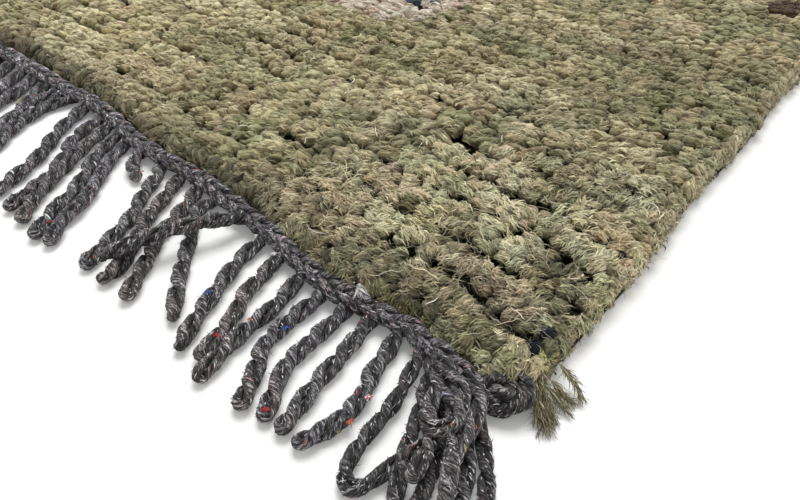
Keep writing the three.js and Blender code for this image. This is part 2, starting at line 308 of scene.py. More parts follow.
def mesh_piece(name, part, material):
    """One piece that rides on the rug. A part is its points, its faces as a list of arrays with one size
    of face in each, and the dye and grain of each point: a colour, with the painted shade and light worked
    into it, and a place along the yarn in millimetres. What would sink into the floor lies pressed flat on
    it."""
    points, faces, dye, grain = part
    mesh = bpy.data.meshes.new(name)
    mesh.vertices.add(len(points))
    resting = np.column_stack([points[:, :2], np.maximum(points[:, 2], REST_HEIGHT)])
    mesh.vertices.foreach_set("co", to_model(resting).astype(np.float32).ravel())
    corners = np.concatenate([face.ravel() for face in faces]).astype(np.int32)
    sizes = np.concatenate([np.full(len(face), face.shape[1]) for face in faces])
    starts = np.concatenate([[0], np.cumsum(sizes)[:-1]]).astype(np.int32)
    mesh.loops.add(len(corners))
    mesh.loops.foreach_set("vertex_index", corners)
    mesh.polygons.add(len(sizes))
    mesh.polygons.foreach_set("loop_start", starts)
    mesh.polygons.foreach_set("use_smooth", np.ones(len(sizes), bool))
    if dye is not None:
        colours = np.column_stack([dye, np.ones(len(dye))]).astype(np.float32)
        mesh.attributes.new("dye", "FLOAT_COLOR", "POINT").data.foreach_set("color", colours.ravel())
        places = np.asarray(grain, np.float32).ravel()
        mesh.attributes.new("grain", "FLOAT_VECTOR", "POINT").data.foreach_set("vector", places)
    mesh.update(calc_edges=True)
    mesh.materials.append(material)
    piece = bpy.data.objects.new(name, mesh)
    bpy.context.scene.collection.objects.link(piece)
    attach(piece, "root")
    return piece


def joined(parts):
    """Several parts as one, with the numbers in their faces moved along."""
    points, faces, dyes, grains = zip(*parts)
    merged = {}
    count = 0
    for part_points, part_faces in zip(points, faces):
        for face in part_faces:
            merged.setdefault(face.shape[1], []).append(face + count)
        count += len(part_points)
    merged_faces = [np.concatenate(rows) for rows in merged.values()]
    return np.concatenate(points), merged_faces, np.concatenate(dyes), np.concatenate(grains)


# ---- Materials ----------------------------------------------------------------------------

def add_node(tree, kind, settings=None, links=None):
    """Adds a node: settings fill its properties or sockets, links join its sockets to others."""
    node = tree.nodes.new("ShaderNode" + kind)
    for key, value in (settings or {}).items():
        if key == "stops":
            ramp = node.color_ramp
            while len(ramp.elements) < len(value):
                ramp.elements.new(0.5)
            for element, (place, colour) in zip(ramp.elements, value):
                element.position = place
                element.color = to_linear(colour)
        elif isinstance(key, str) and hasattr(node, key):
            setattr(node, key, value)
        else:
            node.inputs[key].default_value = value
    for key, socket in (links or {}).items():
        tree.links.new(socket, node.inputs[key])
    return node


def new_material(name):
    material = bpy.data.materials.new(name)
    material.use_nodes = True
    material.node_tree.nodes.clear()
    return material, material.node_tree


def finish_material(tree, shader):
    add_node(tree, "OutputMaterial", links={"Surface": shader.outputs[0]})


def finish_wool(tree, settings, colour, normal):
    """The surface that every wool here ends in: rough, and dull but for its sheen."""
    shader = add_node(tree, "BsdfPrincipled", settings, {"Base Color": colour, "Normal": normal})
    finish_material(tree, shader)


def streaked_yarn(name, fibres, tones):
    """A new material with its tree, the grain, the height of its fibres, and the dye streaked by them."""
    material, tree = new_material(name)
    dye = add_node(tree, "Attribute", {"attribute_name": "dye"}).outputs["Color"]
    grain = add_node(tree, "Attribute", {"attribute_name": "grain"}).outputs["Vector"]
    height = add_node(tree, "TexNoise", fibres, {"Vector": grain}).outputs["Fac"]
    streak = add_node(tree, "ValToRGB", {"stops": tones}, {"Fac": height}).outputs["Color"]
    colour = add_node(tree, "Mix", MULTIPLIED, {6: dye, 7: streak}).outputs[2]
    return material, tree, grain, height, colour


# A mix node's colours are its sockets 6 and 7, and its result is its output 2.
MULTIPLIED = {"data_type": "RGBA", "blend_type": "MULTIPLY", 0: 1.0}
# Streaks, and the cells that flecks lie in, to each millimetre of yarn. Single fibres are too fine to
# show, so the streaks are drawn as coarse as locks of them, about 1.1 mm.
PILE_STREAKS = 0.9
WARP_STREAKS = 0.95
FLECK_CELLS = 0.75
# Which cells hold a bright fleck, from 0 for all to 1 for none, and how far one reaches in its cell.
FLECK_RARITY = 0.984
FLECK_REACH = 0.42
FLECK_COLOURS = [
    (0.0, "af3841"), (0.2, "c36246"), (0.36, "cd919b"), (0.5, "406199"), (0.62, "c3b74f"), (0.74, "ffffff")
]
# A wave node at a scale of 1 passes this many radians in a metre. These scales give the ground one rib
# for two knots across it, and one for each row along it.
WAVE_RADIANS = 20
WARP_RIBS = 2 * math.pi / (WAVE_RADIANS * 2 * KNOT_PITCH_ACROSS * MM)
WEFT_RIBS = 2 * math.pi / (WAVE_RADIANS * KNOT_PITCH_ALONG * MM)


def hand_spun_pile_wool():
    """Hand-spun wool, dyed in the yarn and cut: matt, with streaks of lighter and darker fibre that
    run the way each knot is combed, and a soft sheen where it turns away."""
    fibres = {"Scale": PILE_STREAKS, "Detail": 3.0, "Roughness": 0.6, "Distortion": 0.7}
    tones = [(0.34, "76716a"), (0.5, "cfccc5"), (0.64, "ffffff")]
    material, tree, _, height, colour = streaked_yarn("hand_spun_pile_wool", fibres, tones)
    bump = add_node(tree, "Bump", {"Strength": 1.0, "Distance": 0.001}, {"Height": height})
    wool = {"Roughness": 0.95, "Specular IOR Level": 0.15, "Sheen Weight": 0.12, "Sheen Roughness": 0.6}
    finish_wool(tree, wool, colour, bump.outputs["Normal"])
    return material


def loose_wool_fibre():
    """Fibres and thin locks that lie over the yarn: a little glossier than it, and shaded softly, as
    the surface they lie on is (grain holds the way that faces)."""
    material, tree = new_material("loose_wool_fibre")
    dye = add_node(tree, "Attribute", {"attribute_name": "dye"})
    facing = add_node(tree, "Attribute", {"attribute_name": "grain"})
    wool = {"Roughness": 0.75, "Specular IOR Level": 0.2, "Sheen Weight": 0.1}
    finish_wool(tree, wool, dye.outputs["Color"], facing.outputs["Vector"])
    return material


def felted_warp_yarn():
    """Carded grey yarn of reclaimed fibre, spun thick: charcoal flecked with pale short fibres and,
    now and then, a bright one, with a dull lustre on the pale ones."""
    fibres = {"Scale": WARP_STREAKS, "Detail": 3.0, "Roughness": 0.7, "Distortion": 0.8}
    tones = [(0.38, "131213"), (0.49, "504e50"), (0.57, "a8a6a8"), (0.65, "ffffff")]
    material, tree, grain, height, colour = streaked_yarn("felted_warp_yarn", fibres, tones)
    cells = add_node(tree, "TexVoronoi", {"Scale": FLECK_CELLS}, {"Vector": grain})
    choice = add_node(tree, "SeparateColor", links={"Color": cells.outputs["Color"]})
    rare = add_node(tree, "Math", {"operation": "GREATER_THAN", 1: FLECK_RARITY}, {0: choice.outputs["Red"]})
    near = add_node(tree, "Math", {"operation": "LESS_THAN", 1: FLECK_REACH}, {0: cells.outputs["Distance"]})
    fleck = add_node(tree, "Math", {"operation": "MULTIPLY"}, {0: rare.outputs[0], 1: near.outputs[0]})
    bright = add_node(tree, "ValToRGB", {"stops": FLECK_COLOURS}, {"Fac": choice.outputs["Green"]})
    bright.color_ramp.interpolation = "CONSTANT"
    layers = {0: fleck.outputs[0], 6: colour, 7: bright.outputs["Color"]}
    flecked = add_node(tree, "Mix", {"data_type": "RGBA"}, layers)
    bump = add_node(tree, "Bump", {"Strength": 1.0, "Distance": 0.0012}, {"Height": height})
    wool = {"Roughness": 0.8, "Specular IOR Level": 0.3, "Sheen Weight": 0.15, "Sheen Roughness": 0.5}
    finish_wool(tree, wool, flecked.outputs[2], bump.outputs["Normal"])
    return material


def ground_weave():
    """Plain wool ground, woven and beaten down hard: dull, and ribbed by the wefts where the warps
    cross them, so that what shows between the tufts isn't a flat dark. Its dark colour is partly painted
    shade for the shade down between the tufts, and it is painted darker in the hollows of the ribs."""
    material, tree = new_material("ground_weave")
    place = add_node(tree, "TexCoord").outputs["Object"]
    warps = {"bands_direction": "X", "Scale": WARP_RIBS, "Distortion": 1.5}
    wefts = {"bands_direction": "Y", "Scale": WEFT_RIBS, "Distortion": 1.5}
    warp = add_node(tree, "TexWave", warps, {"Vector": place}).outputs["Fac"]
    weft = add_node(tree, "TexWave", wefts, {"Vector": place}).outputs["Fac"]
    ribs = add_node(tree, "Math", {"operation": "MULTIPLY"}, {0: warp, 1: weft}).outputs[0]
    # Partly painted shade: dark for the shade under the pile, and darker in the hollows of the ribs.
    tones = {"stops": [(0.0, "35342d"), (1.0, "6f6c5b")]}
    colour = add_node(tree, "ValToRGB", tones, {"Fac": ribs})
    bump = add_node(tree, "Bump", {"Strength": 0.8, "Distance": 0.001}, {"Height": ribs})
    wool = {"Roughness": 0.95, "Specular IOR Level": 0.2}
    finish_wool(tree, wool, colour.outputs["Color"], bump.outputs["Normal"])
    return material


def plain_floor():
    """Seamless white paper: it keeps the soft shadow, and is seen as white where none falls."""
    material, tree = new_material("plain_floor")
    seen = add_node(tree, "LightPath").outputs["Is Camera Ray"]
    strength = add_node(tree, "Math", {"operation": "MULTIPLY", 1: FLOOR_GLOW}, {0: seen})
    paper = add_node(tree, "BsdfDiffuse", {"Color": to_linear("f4f4f2")})
    glow = add_node(tree, "Emission", {"Color": (1, 1, 1, 1)}, {"Strength": strength.outputs[0]})
    finish_material(tree, add_node(tree, "AddShader", links={0: paper.outputs[0], 1: glow.outputs[0]}))
    return material


# ---- Camera, light and floor --------------------------------------------------------------

# The camera stands low over the front right corner, in millimetres in the rug's frame.
CAMERA_PLACE = (349.2, -586.3, 195.0)
CAMERA_RIGHT = (0.7767, 0.6264, 0.0664)
CAMERA_UP = (-0.4258, 0.4445, 0.7881)
CAMERA_BACK = (0.4641, -0.6404, 0.6119)
CAMERA_LENS = 30.44
CAMERA_SENSOR = 36
# The sky's level, which way the sun shines, how many degrees wide it is and how strong, and how much the
# white floor is lifted where it is looked at.
SKY_LIGHT = 0.56
SUN_HEADING = (0.56, -0.71, -1.5)
SUN_SOFTNESS = 38
SUN_LIGHT = 2.28
FLOOR_GLOW = 0.14
FLOOR_SIZE = 12


def place_camera():
    data = bpy.data.cameras.new("camera")
    data.lens = CAMERA_LENS
    data.sensor_width = CAMERA_SENSOR
    data.clip_start = 0.01
    camera = bpy.data.objects.new("camera", data)
    turn = Matrix((CAMERA_RIGHT, CAMERA_UP, CAMERA_BACK)).transposed().to_4x4()
    camera.matrix_world = Matrix.Translation(Vector(to_model(CAMERA_PLACE))) @ turn
    bpy.context.scene.collection.objects.link(camera)
    bpy.context.scene.camera = camera


def soft_sun(name, heading, softness, strength):
    """One broad soft light from far off, so that it is as strong all over the floor."""
    data = bpy.data.lights.new(name, "SUN")
    data.angle = math.radians(softness)
    data.energy = strength
    lamp = bpy.data.objects.new(name, data)
    lamp.rotation_euler = Vector(heading).to_track_quat("-Z", "Y").to_euler()
    bpy.context.scene.collection.objects.link(lamp)


def light_studio():
    """A pale sky all round, seen as white, and one soft sun."""
    world = bpy.data.worlds.new("studio")
    world.use_nodes = True
    tree = world.node_tree
    tree.nodes.clear()
    path = add_node(tree, "LightPath")
    levels = {"operation": "MULTIPLY_ADD", 1: 1 - SKY_LIGHT, 2: SKY_LIGHT}
    strength = add_node(tree, "Math", levels, {0: path.outputs["Is Camera Ray"]})
    sky = add_node(tree, "Background", {"Color": (1, 1, 1, 1)}, {"Strength": strength.outputs[0]})
    add_node(tree, "OutputWorld", links={"Surface": sky.outputs[0]})
    bpy.context.scene.world = world
    soft_sun("overhead", SUN_HEADING, SUN_SOFTNESS, SUN_LIGHT)


def lay_floor():
    bpy.ops.mesh.primitive_plane_add(size=FLOOR_SIZE)
    floor = bpy.context.object
    floor.name = "floor"
    floor.data.materials.append(plain_floor())


place_camera()
bpy.context.scene.view_settings.view_transform = "Standard"
light_studio()
lay_floor()

PILE_WOOL = hand_spun_pile_wool()
LOOSE_FIBRE = loose_wool_fibre()
WARP_YARN = felted_warp_yarn()
WEAVE = ground_weave()


# ---- The ground weave ---------------------------------------------------------------------

def ground_sheet():
    """One thin closed sheet under the pile, with the rug's outline."""
    u, v = np.meshgrid(np.linspace(0, 1, WEAVE_COLUMNS), np.linspace(0, 1, WEAVE_ROWS), indexing="xy")
    x = (u - 0.5) * FIELD_WIDTH
    y = front_edge(x) + WEAVE_INSET + v * (back_edge(x) - front_edge(x) - 2 * WEAVE_INSET)
    left, right = side_edge(-1, y) + WEAVE_INSET, side_edge(1, y) - WEAVE_INSET
    x = left + u * (right - left)
    flat = np.stack([x, y], -1).reshape(-1, 2)
    low = np.column_stack([flat, np.full(len(flat), WEAVE_LOW)])
    high = np.column_stack([flat, np.full(len(flat), WEAVE_HIGH)])
    index = np.arange(WEAVE_COLUMNS * WEAVE_ROWS).reshape(WEAVE_ROWS, WEAVE_COLUMNS)
    a, b, c, d = index[:-1, :-1], index[:-1, 1:], index[1:, 1:], index[1:, :-1]
    bottom = np.stack([a, d, c, b], -1).reshape(-1, 4)
    top = np.stack([a, b, c, d], -1).reshape(-1, 4) + len(flat)
    rim = np.concatenate([index[0], index[1:, -1], index[-1, -2::-1], index[-2:0:-1, 0]])
    following = np.roll(rim, -1)
    wall = np.stack([rim, following, following + len(flat), rim + len(flat)], -1)
    points = np.concatenate([low, high])
    return mesh_piece("ground_weave_sheet", (points, [bottom, top, wall], None, None), WEAVE)


# ---- The pile -----------------------------------------------------------------------------

# Dyes of the pile, from straw to moss, then the motif's.
STRAW, OLIVE, SAGE, MOSS, CLAY = dyes_of("f6ecc4", "d5cba0", "c6c59e", "a6a376", "dbc5a3")
CREAM, ROSE, NAVY, TEAL, UMBER = dyes_of("f6ead8", "dcc3b0", "434d66", "66bca6", "5f4b39")
WHITEST_WOOL = 0.92
# Painted shading at a lock's five points, two at its start, two at its bend and its tip: one edge lighter
# than the other, brightest at the bend and darkest at the foot, as light falls on a round strand.
LOCK_PAINTED_SHADING = np.array([0.5, 0.75, 1.15, 0.75, 0.75])
# Odd knots of other wool: from which chance to which, and their dye.
ODD_KNOTS = ((0, 0.0006, NAVY * 0.45), (0.002, 0.007, MOSS * 0.55), (0.996, 1, (ROSE + CLAY) * 0.45))
# Painted shade on the pile: its tone at the front right corner and how much is gained away from it, and
# how much is lost along the front end and down in a gap between bands.
CORNER_SHADE_TONE = 0.64
AWAY_GAIN = 0.56
FRONT_SHADE = 0.3
GAP_SHADE = 0.45
# Painted shade below the pile's front edge: its tone, how much darker its foot is, and how much of that
# is lacking by the corner. Then the painted light on the other edges, which makes them a little lighter.
FRONT_FACE_SHADE = 0.52
FOOT_SHADE = 0.36
CORNER_GAIN = 0.16
EDGE_FACE_LIGHT = 1.1
# The knotted motifs: the middle across and along, and the half width and half length. The pale one is a
# stepped lozenge with a hook at one side, and the others are small plain ones.
PALE_LOZENGE = (5, -130, 37, 53)
PALE_STEP = 1.6
PALE_HOOK = (-25, -176, 18, 16)
ROSE_SHARE = 0.25
SMALL_LOZENGES = (((12, -118, 13, 18), NAVY), ((-222, -370, 36, 42), TEAL), ((246, 118, 24, 26), UMBER))
# A few knots of navy show at the handled corner.
CORNER_KNOT = (291.5, -405.5)
CORNER_KNOT_REACH = 6.5
CORNER_NAVY = NAVY * (0.45, 0.62, 0.5)


def knot_places():
    """The top of every knot, row by row: across, along, its row, its place in its band, and how far
    apart the bands stand there, from 0 to 1."""
    rows = round(FIELD_LENGTH / KNOT_PITCH_ALONG)
    columns = round(FIELD_WIDTH / KNOT_PITCH_ACROSS)
    rng = np.random.default_rng(11)
    row, column = np.meshgrid(np.arange(rows), np.arange(columns), indexing="ij")
    row, column = row.ravel(), column.ravel()
    in_band = row % ROWS_PER_BAND
    across = (column + 0.5 + ROW_SHIFT * (row % 2 - 0.5) + rng.normal(0, SCATTER_ACROSS, row.size)) / columns
    x = (across - 0.5) * FIELD_WIDTH
    parted = np.clip(0.55 + 0.9 * drift(x, (row // ROWS_PER_BAND) * BAND_SEED_STEP, 38, 5), 0, 1)
    squeeze = (1 - in_band) * BAND_SQUEEZE * parted
    along = (row + 0.5 + squeeze + rng.normal(0, SCATTER_ALONG, row.size)) / rows
    y = front_edge(x) + along * (back_edge(x) - front_edge(x))
    left, right = side_edge(-1, y) + SIDE_TUCK, side_edge(1, y) - SIDE_TUCK
    x = left + across * (right - left)
    keep = edge_of(x, y)[0] > KNOT_INSET
    return x[keep], y[keep], row[keep], in_band[keep], parted[keep]


def clump_of(x, row):
    """How near each knot is to its clump's border, from 0 to 1, and two chance values of the clump."""
    band = row // ROWS_PER_BAND
    lattice = np.random.default_rng(51).uniform(-1, 1, (3, 64, 64))
    place = x / CLUMP_WIDTH + 3 * lattice[0, band % 64, 0] + 0.35 * drift(x, band * BAND_SEED_STEP, 26, 52)
    clump = np.floor(place).astype(int)
    border = np.abs(place - clump - 0.5) * 2
    return border, lattice[1, band % 64, clump % 64], lattice[2, band % 64, clump % 64]


def away_from_corner(x, y):
    """From 0 at the front right corner to 1 well away from it. It sets how deep the painted shade is,
    deepest at that corner, and how uneven the pile's height, lean and colour are.
    """
    return smoothstep(np.hypot(x - FIELD_WIDTH / 2, y + FIELD_LENGTH / 2), 30, 300)


def knot_dye(x, y, row, rng):
    """The dye of each knot: olive abrash in bands, patches and clumps, and odd knots of other wool."""
    band = drift(x * 0.35, row * 9.0, 30, 21) + 0.5 * drift(x, y, 14, 22)
    # Away from the corner the pile is matted, so its colours run together.
    away = away_from_corner(x, y)
    clump_warm, clump_tone = clump_of(x, row.astype(int))[1:]
    warm = 0.5 * drift(x, y, 13, 23) + 0.75 * clump_warm
    warm = (warm + 0.35 * (1 - 0.75 * away) * rng.normal(0, 1, x.size))[:, None]
    pick = (band + 0.5 * clump_tone + 0.5 * (1 - 0.8 * away) * rng.normal(0, 1, x.size))[:, None]
    lighter = OLIVE + (STRAW - OLIVE) * np.clip(pick, 0, 1)
    darker = OLIVE + (MOSS - OLIVE) * np.clip(-pick * 0.8, 0, 1)
    dye = np.where(pick > 0, lighter, darker)
    tint = np.where(warm > 0, CLAY, SAGE)
    dye = dye + (tint - dye) * np.clip(np.abs(warm) * 0.6, 0, 0.8)
    patchy = 0.5 * drift(x, y, 19, 24) + 0.36 * drift(x, y, 47, 25) + rng.normal(0, 0.14, x.size)
    dye = dye * np.exp(patchy * (1.15 - 0.8 * away) + 0.1 * clump_tone)[:, None]
    dye = dye * np.interp(y, ABRASH_ALONG, ABRASH_TONE)[:, None]
    chance = rng.uniform(0, 1, x.size)
    for least, most, odd_dye in ODD_KNOTS:
        dye[(chance >= least) & (chance < most)] = odd_dye
    return dye


def lozenge(across, along, shape):
    """How far each place is from a lozenge's middle, across and along, where 1 is a whole half size."""
    middle_x, middle_y, half_wide, half_long = shape
    return np.abs(across - middle_x) / half_wide, np.abs(along - middle_y) / half_long


def motif_dye(x, y, dye, rng):
    """The small knotted lozenges, the same from either end of the rug."""
    for sign in (1, -1):
        across, along = sign * x, sign * y
        wide, long = lozenge(across, along, PALE_LOZENGE)
        pale = (np.maximum(wide, long) < 1) & (wide + long < PALE_STEP)
        pale = pale | (sum(lozenge(across, along, PALE_HOOK)) < 1)
        rosy = rng.uniform(0, 1, x.size)[:, None] < ROSE_SHARE
        dye[pale] = np.where(rosy, ROSE, CREAM)[pale]
        for shape, small_dye in SMALL_LOZENGES:
            dye[sum(lozenge(across, along, shape)) < 1] = small_dye
    corner_x, corner_y = CORNER_KNOT
    dye[np.hypot(x - corner_x, y - corner_y) < CORNER_KNOT_REACH] = CORNER_NAVY
    return dye


def pile_knots():
    """Where each knot's tuft ends, which way it leans, how long and thick it is, its dye with painted
    shade in it, and which way it is combed."""
    rng = np.random.default_rng(12)
    x, y, row, in_band, parted = knot_places()
    count = x.size
    inset, out = edge_of(x, y)
    lean = np.radians(np.interp(inset, ROLL_INSET, ROLL_LEAN))[:, None]
    height = np.interp(inset, ROLL_INSET, ROLL_HEIGHT) + 0.9 * drift(x, y, 55, 31)
    away = away_from_corner(x, y)
    relief = rng.normal(0, KNOT_RELIEF, count) * (1.1 - 0.85 * away)
    relief = relief + LUMP_RELIEF * drift(x, y, LUMP_SIZE, 34) * (1.1 - 0.4 * away)
    relief = relief + (0.3 + 0.7 * parted) * np.array(BAND_CROWN)[in_band]
    relief = relief - CLUMP_DIP * smoothstep(clump_of(x, row)[0], 0.55, 1.0)
    # Here and there between the bands a gap opens down to the ground.
    gap = smoothstep(drift(x, (row // ROWS_PER_BAND) * BAND_SEED_STEP, 14, 41), 0.35, 0.7) * (in_band == 2)
    relief = relief - GAP_DEPTH * gap
    height = height + relief * (inset > 5)
    sideways, onward = rng.normal(0, 0.2, count), rng.normal(0, 0.2, count) - PILE_SLANT
    forward = np.stack([sideways, onward, np.ones(count)], -1)
    axis = unit(unit(forward) * np.cos(lean) + out * np.sin(lean))
    tips = np.stack([x, y, height], -1)
    length = np.minimum(TUFT_LENGTH, (height - 2.5) / np.clip(axis[:, 2], 0.45, 1))
    size = np.exp(rng.normal(0.02, 0.12, count))
    dye = motif_dye(x, y, knot_dye(x, y, row, rng), rng)
    # Painted shade: a low tuft is painted darker and a proud one lighter, with a little for wear, and the
    # pile is painted darker at the front right corner, along the front end and down in a gap.
    fronting = 1 - smoothstep(y - front_edge(x), 4, 24)
    painted_shade = (CORNER_SHADE_TONE + AWAY_GAIN * away) * (1 - FRONT_SHADE * fronting)
    dye = dye * (np.exp((0.09 - 0.03 * away) * relief) * (1 - GAP_SHADE * gap) * painted_shade)[:, None]
    swirl = 0.4 + (1 - 0.65 * away) * (0.95 * drift(x, y, 17, 33) + rng.normal(0, 0.35, count))
    combed = np.stack([np.cos(swirl), np.sin(swirl), np.zeros(count)], -1)
    return tips, axis, length, size, dye, across_axis(combed, axis)


def edge_knots():
    """The tufts that roll over the edges, below the last knots: lower and lower rings of them."""
    rng = np.random.default_rng(13)
    half_width, half_length = FIELD_WIDTH / 2, FIELD_LENGTH / 2
    tips, tilts = [], []
    for height, tilt, along_ends in EDGE_RINGS:
        for sign in (1, -1):
            # A ring is moved as a whole by the first of its draws, then knot by knot.
            y = np.arange(-half_length + 6, half_length - 5, EDGE_PITCH) + rng.normal(0, 0.8, EDGE_DRAWS)[0]
            y = y + rng.normal(0, 0.7, y.size)
            rows = [(side_edge(sign, y) - sign * SIDE_TUCK, y)]
            if along_ends:
                x = np.arange(-half_width + 8, half_width - 7, EDGE_PITCH)
                x = x + rng.normal(0, 0.7, x.size)
                rows.append((x, front_edge(x) if sign < 0 else back_edge(x)))
            for x, y in rows:
                tips.append(np.column_stack([x, y, np.full(x.size, height)]))
                tilts.append(np.full(x.size, tilt))
    tips, tilt = np.concatenate(tips), np.radians(np.concatenate(tilts))[:, None]
    inset, out = edge_of(tips[:, 0], tips[:, 1])
    # Those near a corner come in to its round.
    tips[:, :2] += out[:, :2] * np.where(inset < 0, inset, 0)[:, None]
    tips += out * 0.4 + rng.normal(0, 0.5, tips.shape) * (1, 1, 0.8)
    axis = unit(out * np.sin(tilt) + np.array([0, 0, 1]) * np.cos(tilt) + rng.normal(0, 0.16, tips.shape))
    length = np.full(len(tips), EDGE_TUFT_LENGTH)
    size = np.exp(rng.normal(-0.1, 0.1, len(tips)))
    dye = knot_dye(tips[:, 0], tips[:, 1], np.round(tips[:, 1] / KNOT_PITCH_ALONG), rng)
    # Painted shade and light: the front face is painted darker, most at its foot, and the other faces a
    # little lighter, as light falls on them.
    low = 1 - smoothstep(tips[:, 2:], 6.5, 11.5)
    dark = FRONT_FACE_SHADE - low * (FOOT_SHADE - CORNER_GAIN * smoothstep(tips[:, :1], 210, 250))
    dye = dye * np.where(out[:, 1:2] < -0.5, dark, EDGE_FACE_LIGHT)
    hanging = rng.normal(0, 0.75, tips.shape) * (1, 1, 0.3) - (0, 0, 0.8)
    return tips, axis, length, size, dye, across_axis(hanging, axis)


def across_axis(direction, axis):
    """The part of each direction that is square to its axis."""
    return unit(direction - axis * np.sum(direction * axis, -1, keepdims=True))


def cut_ends(knots, seed):
    """Each knot's two cut ends, a little different in place, height and dye."""
    rng = np.random.default_rng(seed)
    tips, axis, length, size, dye, ahead = (np.repeat(a, 2, axis=0) for a in knots)
    count = len(tips)
    one_each = (count, 1)
    aside = np.cross(axis, ahead)
    apart = np.tile([-END_APART, END_APART], count // 2)[:, None] * rng.uniform(0.75, 1.25, one_each)
    tips = tips + aside * apart + ahead * rng.normal(0, 1.1, one_each) + axis * rng.normal(0, 0.5, one_each)
    size = size * np.exp(rng.normal(0, 0.08, count))
    odd = (1 - 0.6 * away_from_corner(tips[:, 0], tips[:, 1]))[:, None]
    warm = rng.normal(0, 0.035, one_each) * np.array([1.0, -0.4, -0.6])
    dye = dye * np.exp((rng.normal(0, 0.09, one_each) + warm) * odd)
    return tips, axis, length, size, dye, ahead


def tuft_bodies(ends, sides, rings, stout, drawn_out, streaks, darkening, seed):
    """Lumps of cut yarn, open below where the next ones hide them: rings round a bent stem, and a crown."""
    tips, axis, length, size, dye, ahead = ends
    rng = np.random.default_rng(seed)
    count = len(tips)
    aside = np.cross(axis, ahead)
    leans = [rng.normal(mean, spread, count) for mean, spread in ((0, 0.6), (-0.9, 0.6), (-0.4, 0.3))]
    droop = np.stack(leans, -1)
    droop[:, 2] = np.clip(droop[:, 2], -1.0, 0)
    stretch = np.exp(rng.normal(0, 0.12, count))
    # Painted shade: a tuft is painted darker towards its foot, where shade falls between the tufts, most at
    # the front right corner.
    deep = DEEP_SHADE[0] + (DEEP_SHADE[1] - DEEP_SHADE[0]) * away_from_corner(tips[:, 0], tips[:, 1])
    points, dyes, grains = [], [], []
    offset = rng.uniform(0, 400, (count, 3))
    for along, wide in rings + ((1.0, 0.0),):
        centre = tips - axis * (length * (1 - along))[:, None] + droop * (along**2 - 1)
        shade_here = (deep + (1 - deep) * along**darkening)[:, None]
        for k in range(sides if wide else 1):
            angle = 2 * np.pi * (k + rng.uniform(-0.2, 0.2, count)) / sides
            bulge = wide * stout * size * np.clip(1 + rng.normal(0, 0.13, count), 0.7, 1.35)
            onward = (END_HALF_LONG * drawn_out * stretch * bulge * np.cos(angle))[:, None] * ahead
            across = (END_HALF_WIDE / stretch * bulge * np.sin(angle))[:, None] * aside
            place = centre + across + onward + axis * (rng.normal(0, 0.4, count) * along)[:, None]
            points.append(place)
            dyes.append(within_dye(dye * shade_here))
            along_lock, over_lock, up = (np.sum((place - tips) * way, -1) for way in (ahead, aside, axis))
            strand = np.stack([along_lock * STRAND_STRETCH, over_lock, up * STRAND_RISE], -1)
            grains.append(strand * streaks + offset)
    per = len(points)
    base = (np.arange(count) * per)[:, None, None]
    ring = np.arange(sides)
    after = (ring + 1) % sides
    top = (len(rings) - 1) * sides
    levels = [np.stack([ring, after, after + sides, ring + sides], -1) + low for low in range(0, top, sides)]
    crown = np.stack([ring + top, after + top, np.full(sides, per - 1)], -1)
    faces = [(base + np.concatenate(levels)).reshape(-1, 4), (base + crown).reshape(-1, 3)]
    points, dyes, grains = (np.stack(rows, 1).reshape(count * per, 3) for rows in (points, dyes, grains))
    return points, faces, dyes, grains


def within_dye(dye):
    """Dyes held to what wool can be, without a change of hue."""
    return dye * np.minimum(1, WHITEST_WOOL / np.maximum(dye.max(-1, keepdims=True), 1e-6))


def ribbons(start, middle, end, facing, width, dye):
    """Thin tapering locks: two lengths each, bent between them, lying as the surface faces, with painted
    shading: one edge darker than the other and a painted highlight at the bend, as on a round strand."""
    facing = unit(facing)
    half = unit(np.cross(end - start, facing) + 1e-6) * (width / 2)[:, None]
    points = np.stack([start - half * 0.7, start + half * 0.7, middle + half, middle - half, end], 1)
    count = len(start)
    per = len(LOCK_PAINTED_SHADING)
    base = (np.arange(count) * per)[:, None]
    faces = [base + np.array([[0, 1, 2, 3]]), base + np.array([[3, 2, 4]])]
    dyes = within_dye(dye[:, None] * LOCK_PAINTED_SHADING[None, :, None]).reshape(-1, 3)
    return points.reshape(-1, 3), faces, dyes, np.repeat(facing, per, axis=0)


def crown_locks(ends, per_end, widest, uneven, seed):
    """Locks of fibre combed over each crown, hardly arched, their tips tucked down between the tufts."""
    tips, axis, _, size, dye, ahead = (np.repeat(a, per_end, axis=0) for a in ends)
    rng = np.random.default_rng(seed)
    count = len(tips)
    one_each = (count, 1)
    aside = np.cross(axis, ahead)
    turn = rng.normal(0, 0.3, one_each)
    ahead, aside = ahead * np.cos(turn) + aside * np.sin(turn), aside * np.cos(turn) - ahead * np.sin(turn)
    offset = rng.normal(0, 1.5, one_each) * size[:, None]
    behind = rng.uniform(*CROWN_BEHIND, one_each)
    reach = rng.uniform(*CROWN_REACH, one_each)
    sweep = rng.normal(0, 0.7, one_each)
    sink = 0.12 * offset**2
    start = tips + aside * offset - ahead * behind - axis * (0.5 + sink + 0.06 * behind**2)
    middle = tips + aside * (offset + sweep) + ahead * (reach * 0.5 - behind)
    middle = middle + axis * (rng.uniform(-0.2, 0.5, one_each) - sink)
    end = tips + aside * (offset + sweep * rng.uniform(0.5, 2.4, one_each)) + ahead * (reach - behind)
    end = end - axis * (sink + rng.uniform(0.6, 2.4, one_each))
    width = widest * np.exp(rng.normal(0, 0.42, count))
    facing = axis + aside * offset * 0.22 + ahead * (reach * 0.5 - behind) * 0.12
    tone = np.exp(rng.normal(0.0, uneven, one_each))
    return ribbons(start, middle, end, facing, width, dye * tone)


